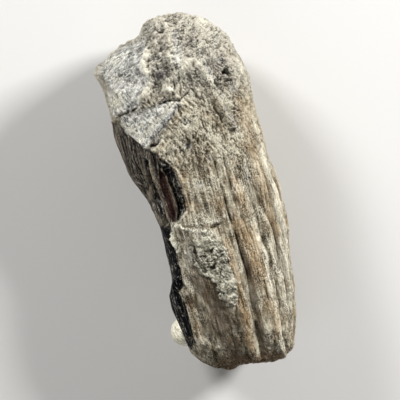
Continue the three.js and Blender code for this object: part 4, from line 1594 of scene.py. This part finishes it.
@dataclass(frozen=True)
class Studio:
    """A pale floor, soft lights and the camera that looks down on the tooth. Lengths in millimetres."""

    view_width: float = 37.78
    view_turn: float = 15.0
    view_centre: Point = (-0.568, -0.659)
    view_level: float = 7.0
    lens: float = 180.0
    floor_half: float = 900.0

    def build(self) -> None:
        """Builds the floor, the lights and the camera."""
        self._floor()
        self._light("key", (235, 70, 160), 60, 1.04)
        self._light("top", (-120, 210, 170), 80, 0.63)
        self._light("fill", (-150, -120, 220), 200, 0.12)
        world = bpy.data.worlds.new("soft_room")
        world.use_nodes = True
        world.node_tree.nodes["Background"].inputs["Color"].default_value = (1.0, 0.99, 0.97, 1.0)
        world.node_tree.nodes["Background"].inputs["Strength"].default_value = 0.1
        bpy.context.scene.world = world
        bpy.context.scene.view_settings.view_transform = "Standard"
        self._camera()

    def _floor(self) -> None:
        """Lays the floor."""
        material = bpy.data.materials.new("pale_floor")
        material.use_nodes = True
        shader = material.node_tree.nodes["Principled BSDF"]
        shader.inputs["Base Color"].default_value = (0.7, 0.69, 0.67, 1.0)
        shader.inputs["Roughness"].default_value = 0.9
        bm = bmesh.new()
        bmesh.ops.create_grid(bm, x_segments=1, y_segments=1, size=self.floor_half * MM)
        new_piece("floor", bm, material)

    def _light(self, name: str, place: Size, size: float, power: float) -> None:
        """Hangs a soft square light that looks at the tooth.

        Args:
            name: its name.
            place: where it hangs.
            size: its side.
            power: its power in watts.
        """
        lamp = bpy.data.lights.new(name, "AREA")
        lamp.size = size * MM
        lamp.energy = power
        light = bpy.data.objects.new(name, lamp)
        where = Vector(place) * MM
        aim = (-where).to_track_quat("-Z", "Y").to_matrix().to_4x4()
        light.matrix_world = Matrix.Translation(where) @ aim
        bpy.context.scene.collection.objects.link(light)

    def _camera(self) -> None:
        """Sets the camera straight above, turned so that the tooth leans."""
        camera = bpy.data.cameras.new("camera")
        camera.lens = self.lens
        camera.clip_start = 0.01
        distance = self.lens * self.view_width / camera.sensor_width + self.view_level
        holder = bpy.data.objects.new("camera", camera)
        place = Vector((*self.view_centre, distance)) * MM
        turn = Matrix.Rotation(-math.radians(self.view_turn), 4, "Z")
        holder.matrix_world = Matrix.Translation(place) @ turn
        bpy.context.scene.collection.objects.link(holder)
        bpy.context.scene.camera = holder


def main() -> None:
    """Builds the specimen and its setting."""
    logging.basicConfig(level=logging.INFO, format="%(name)s: %(message)s")
    grit = grit_and_shade_group()
    root = Root().build(FossilFinish().material(grit))
    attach(root, "root")
    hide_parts(NODE)
    crust = Crust(Marks().crust).build(RockFinish().material(grit), root)
    nodule = Nodule().build(ChalkFinish().material(grit))
    for piece in (crust, nodule):
        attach(piece, "root")
    for piece in (root, crust, nodule):
        log.info("%s: %d vertices", piece.name, len(piece.data.vertices))
    Studio().build()


if __name__ == "__main__":
    main()
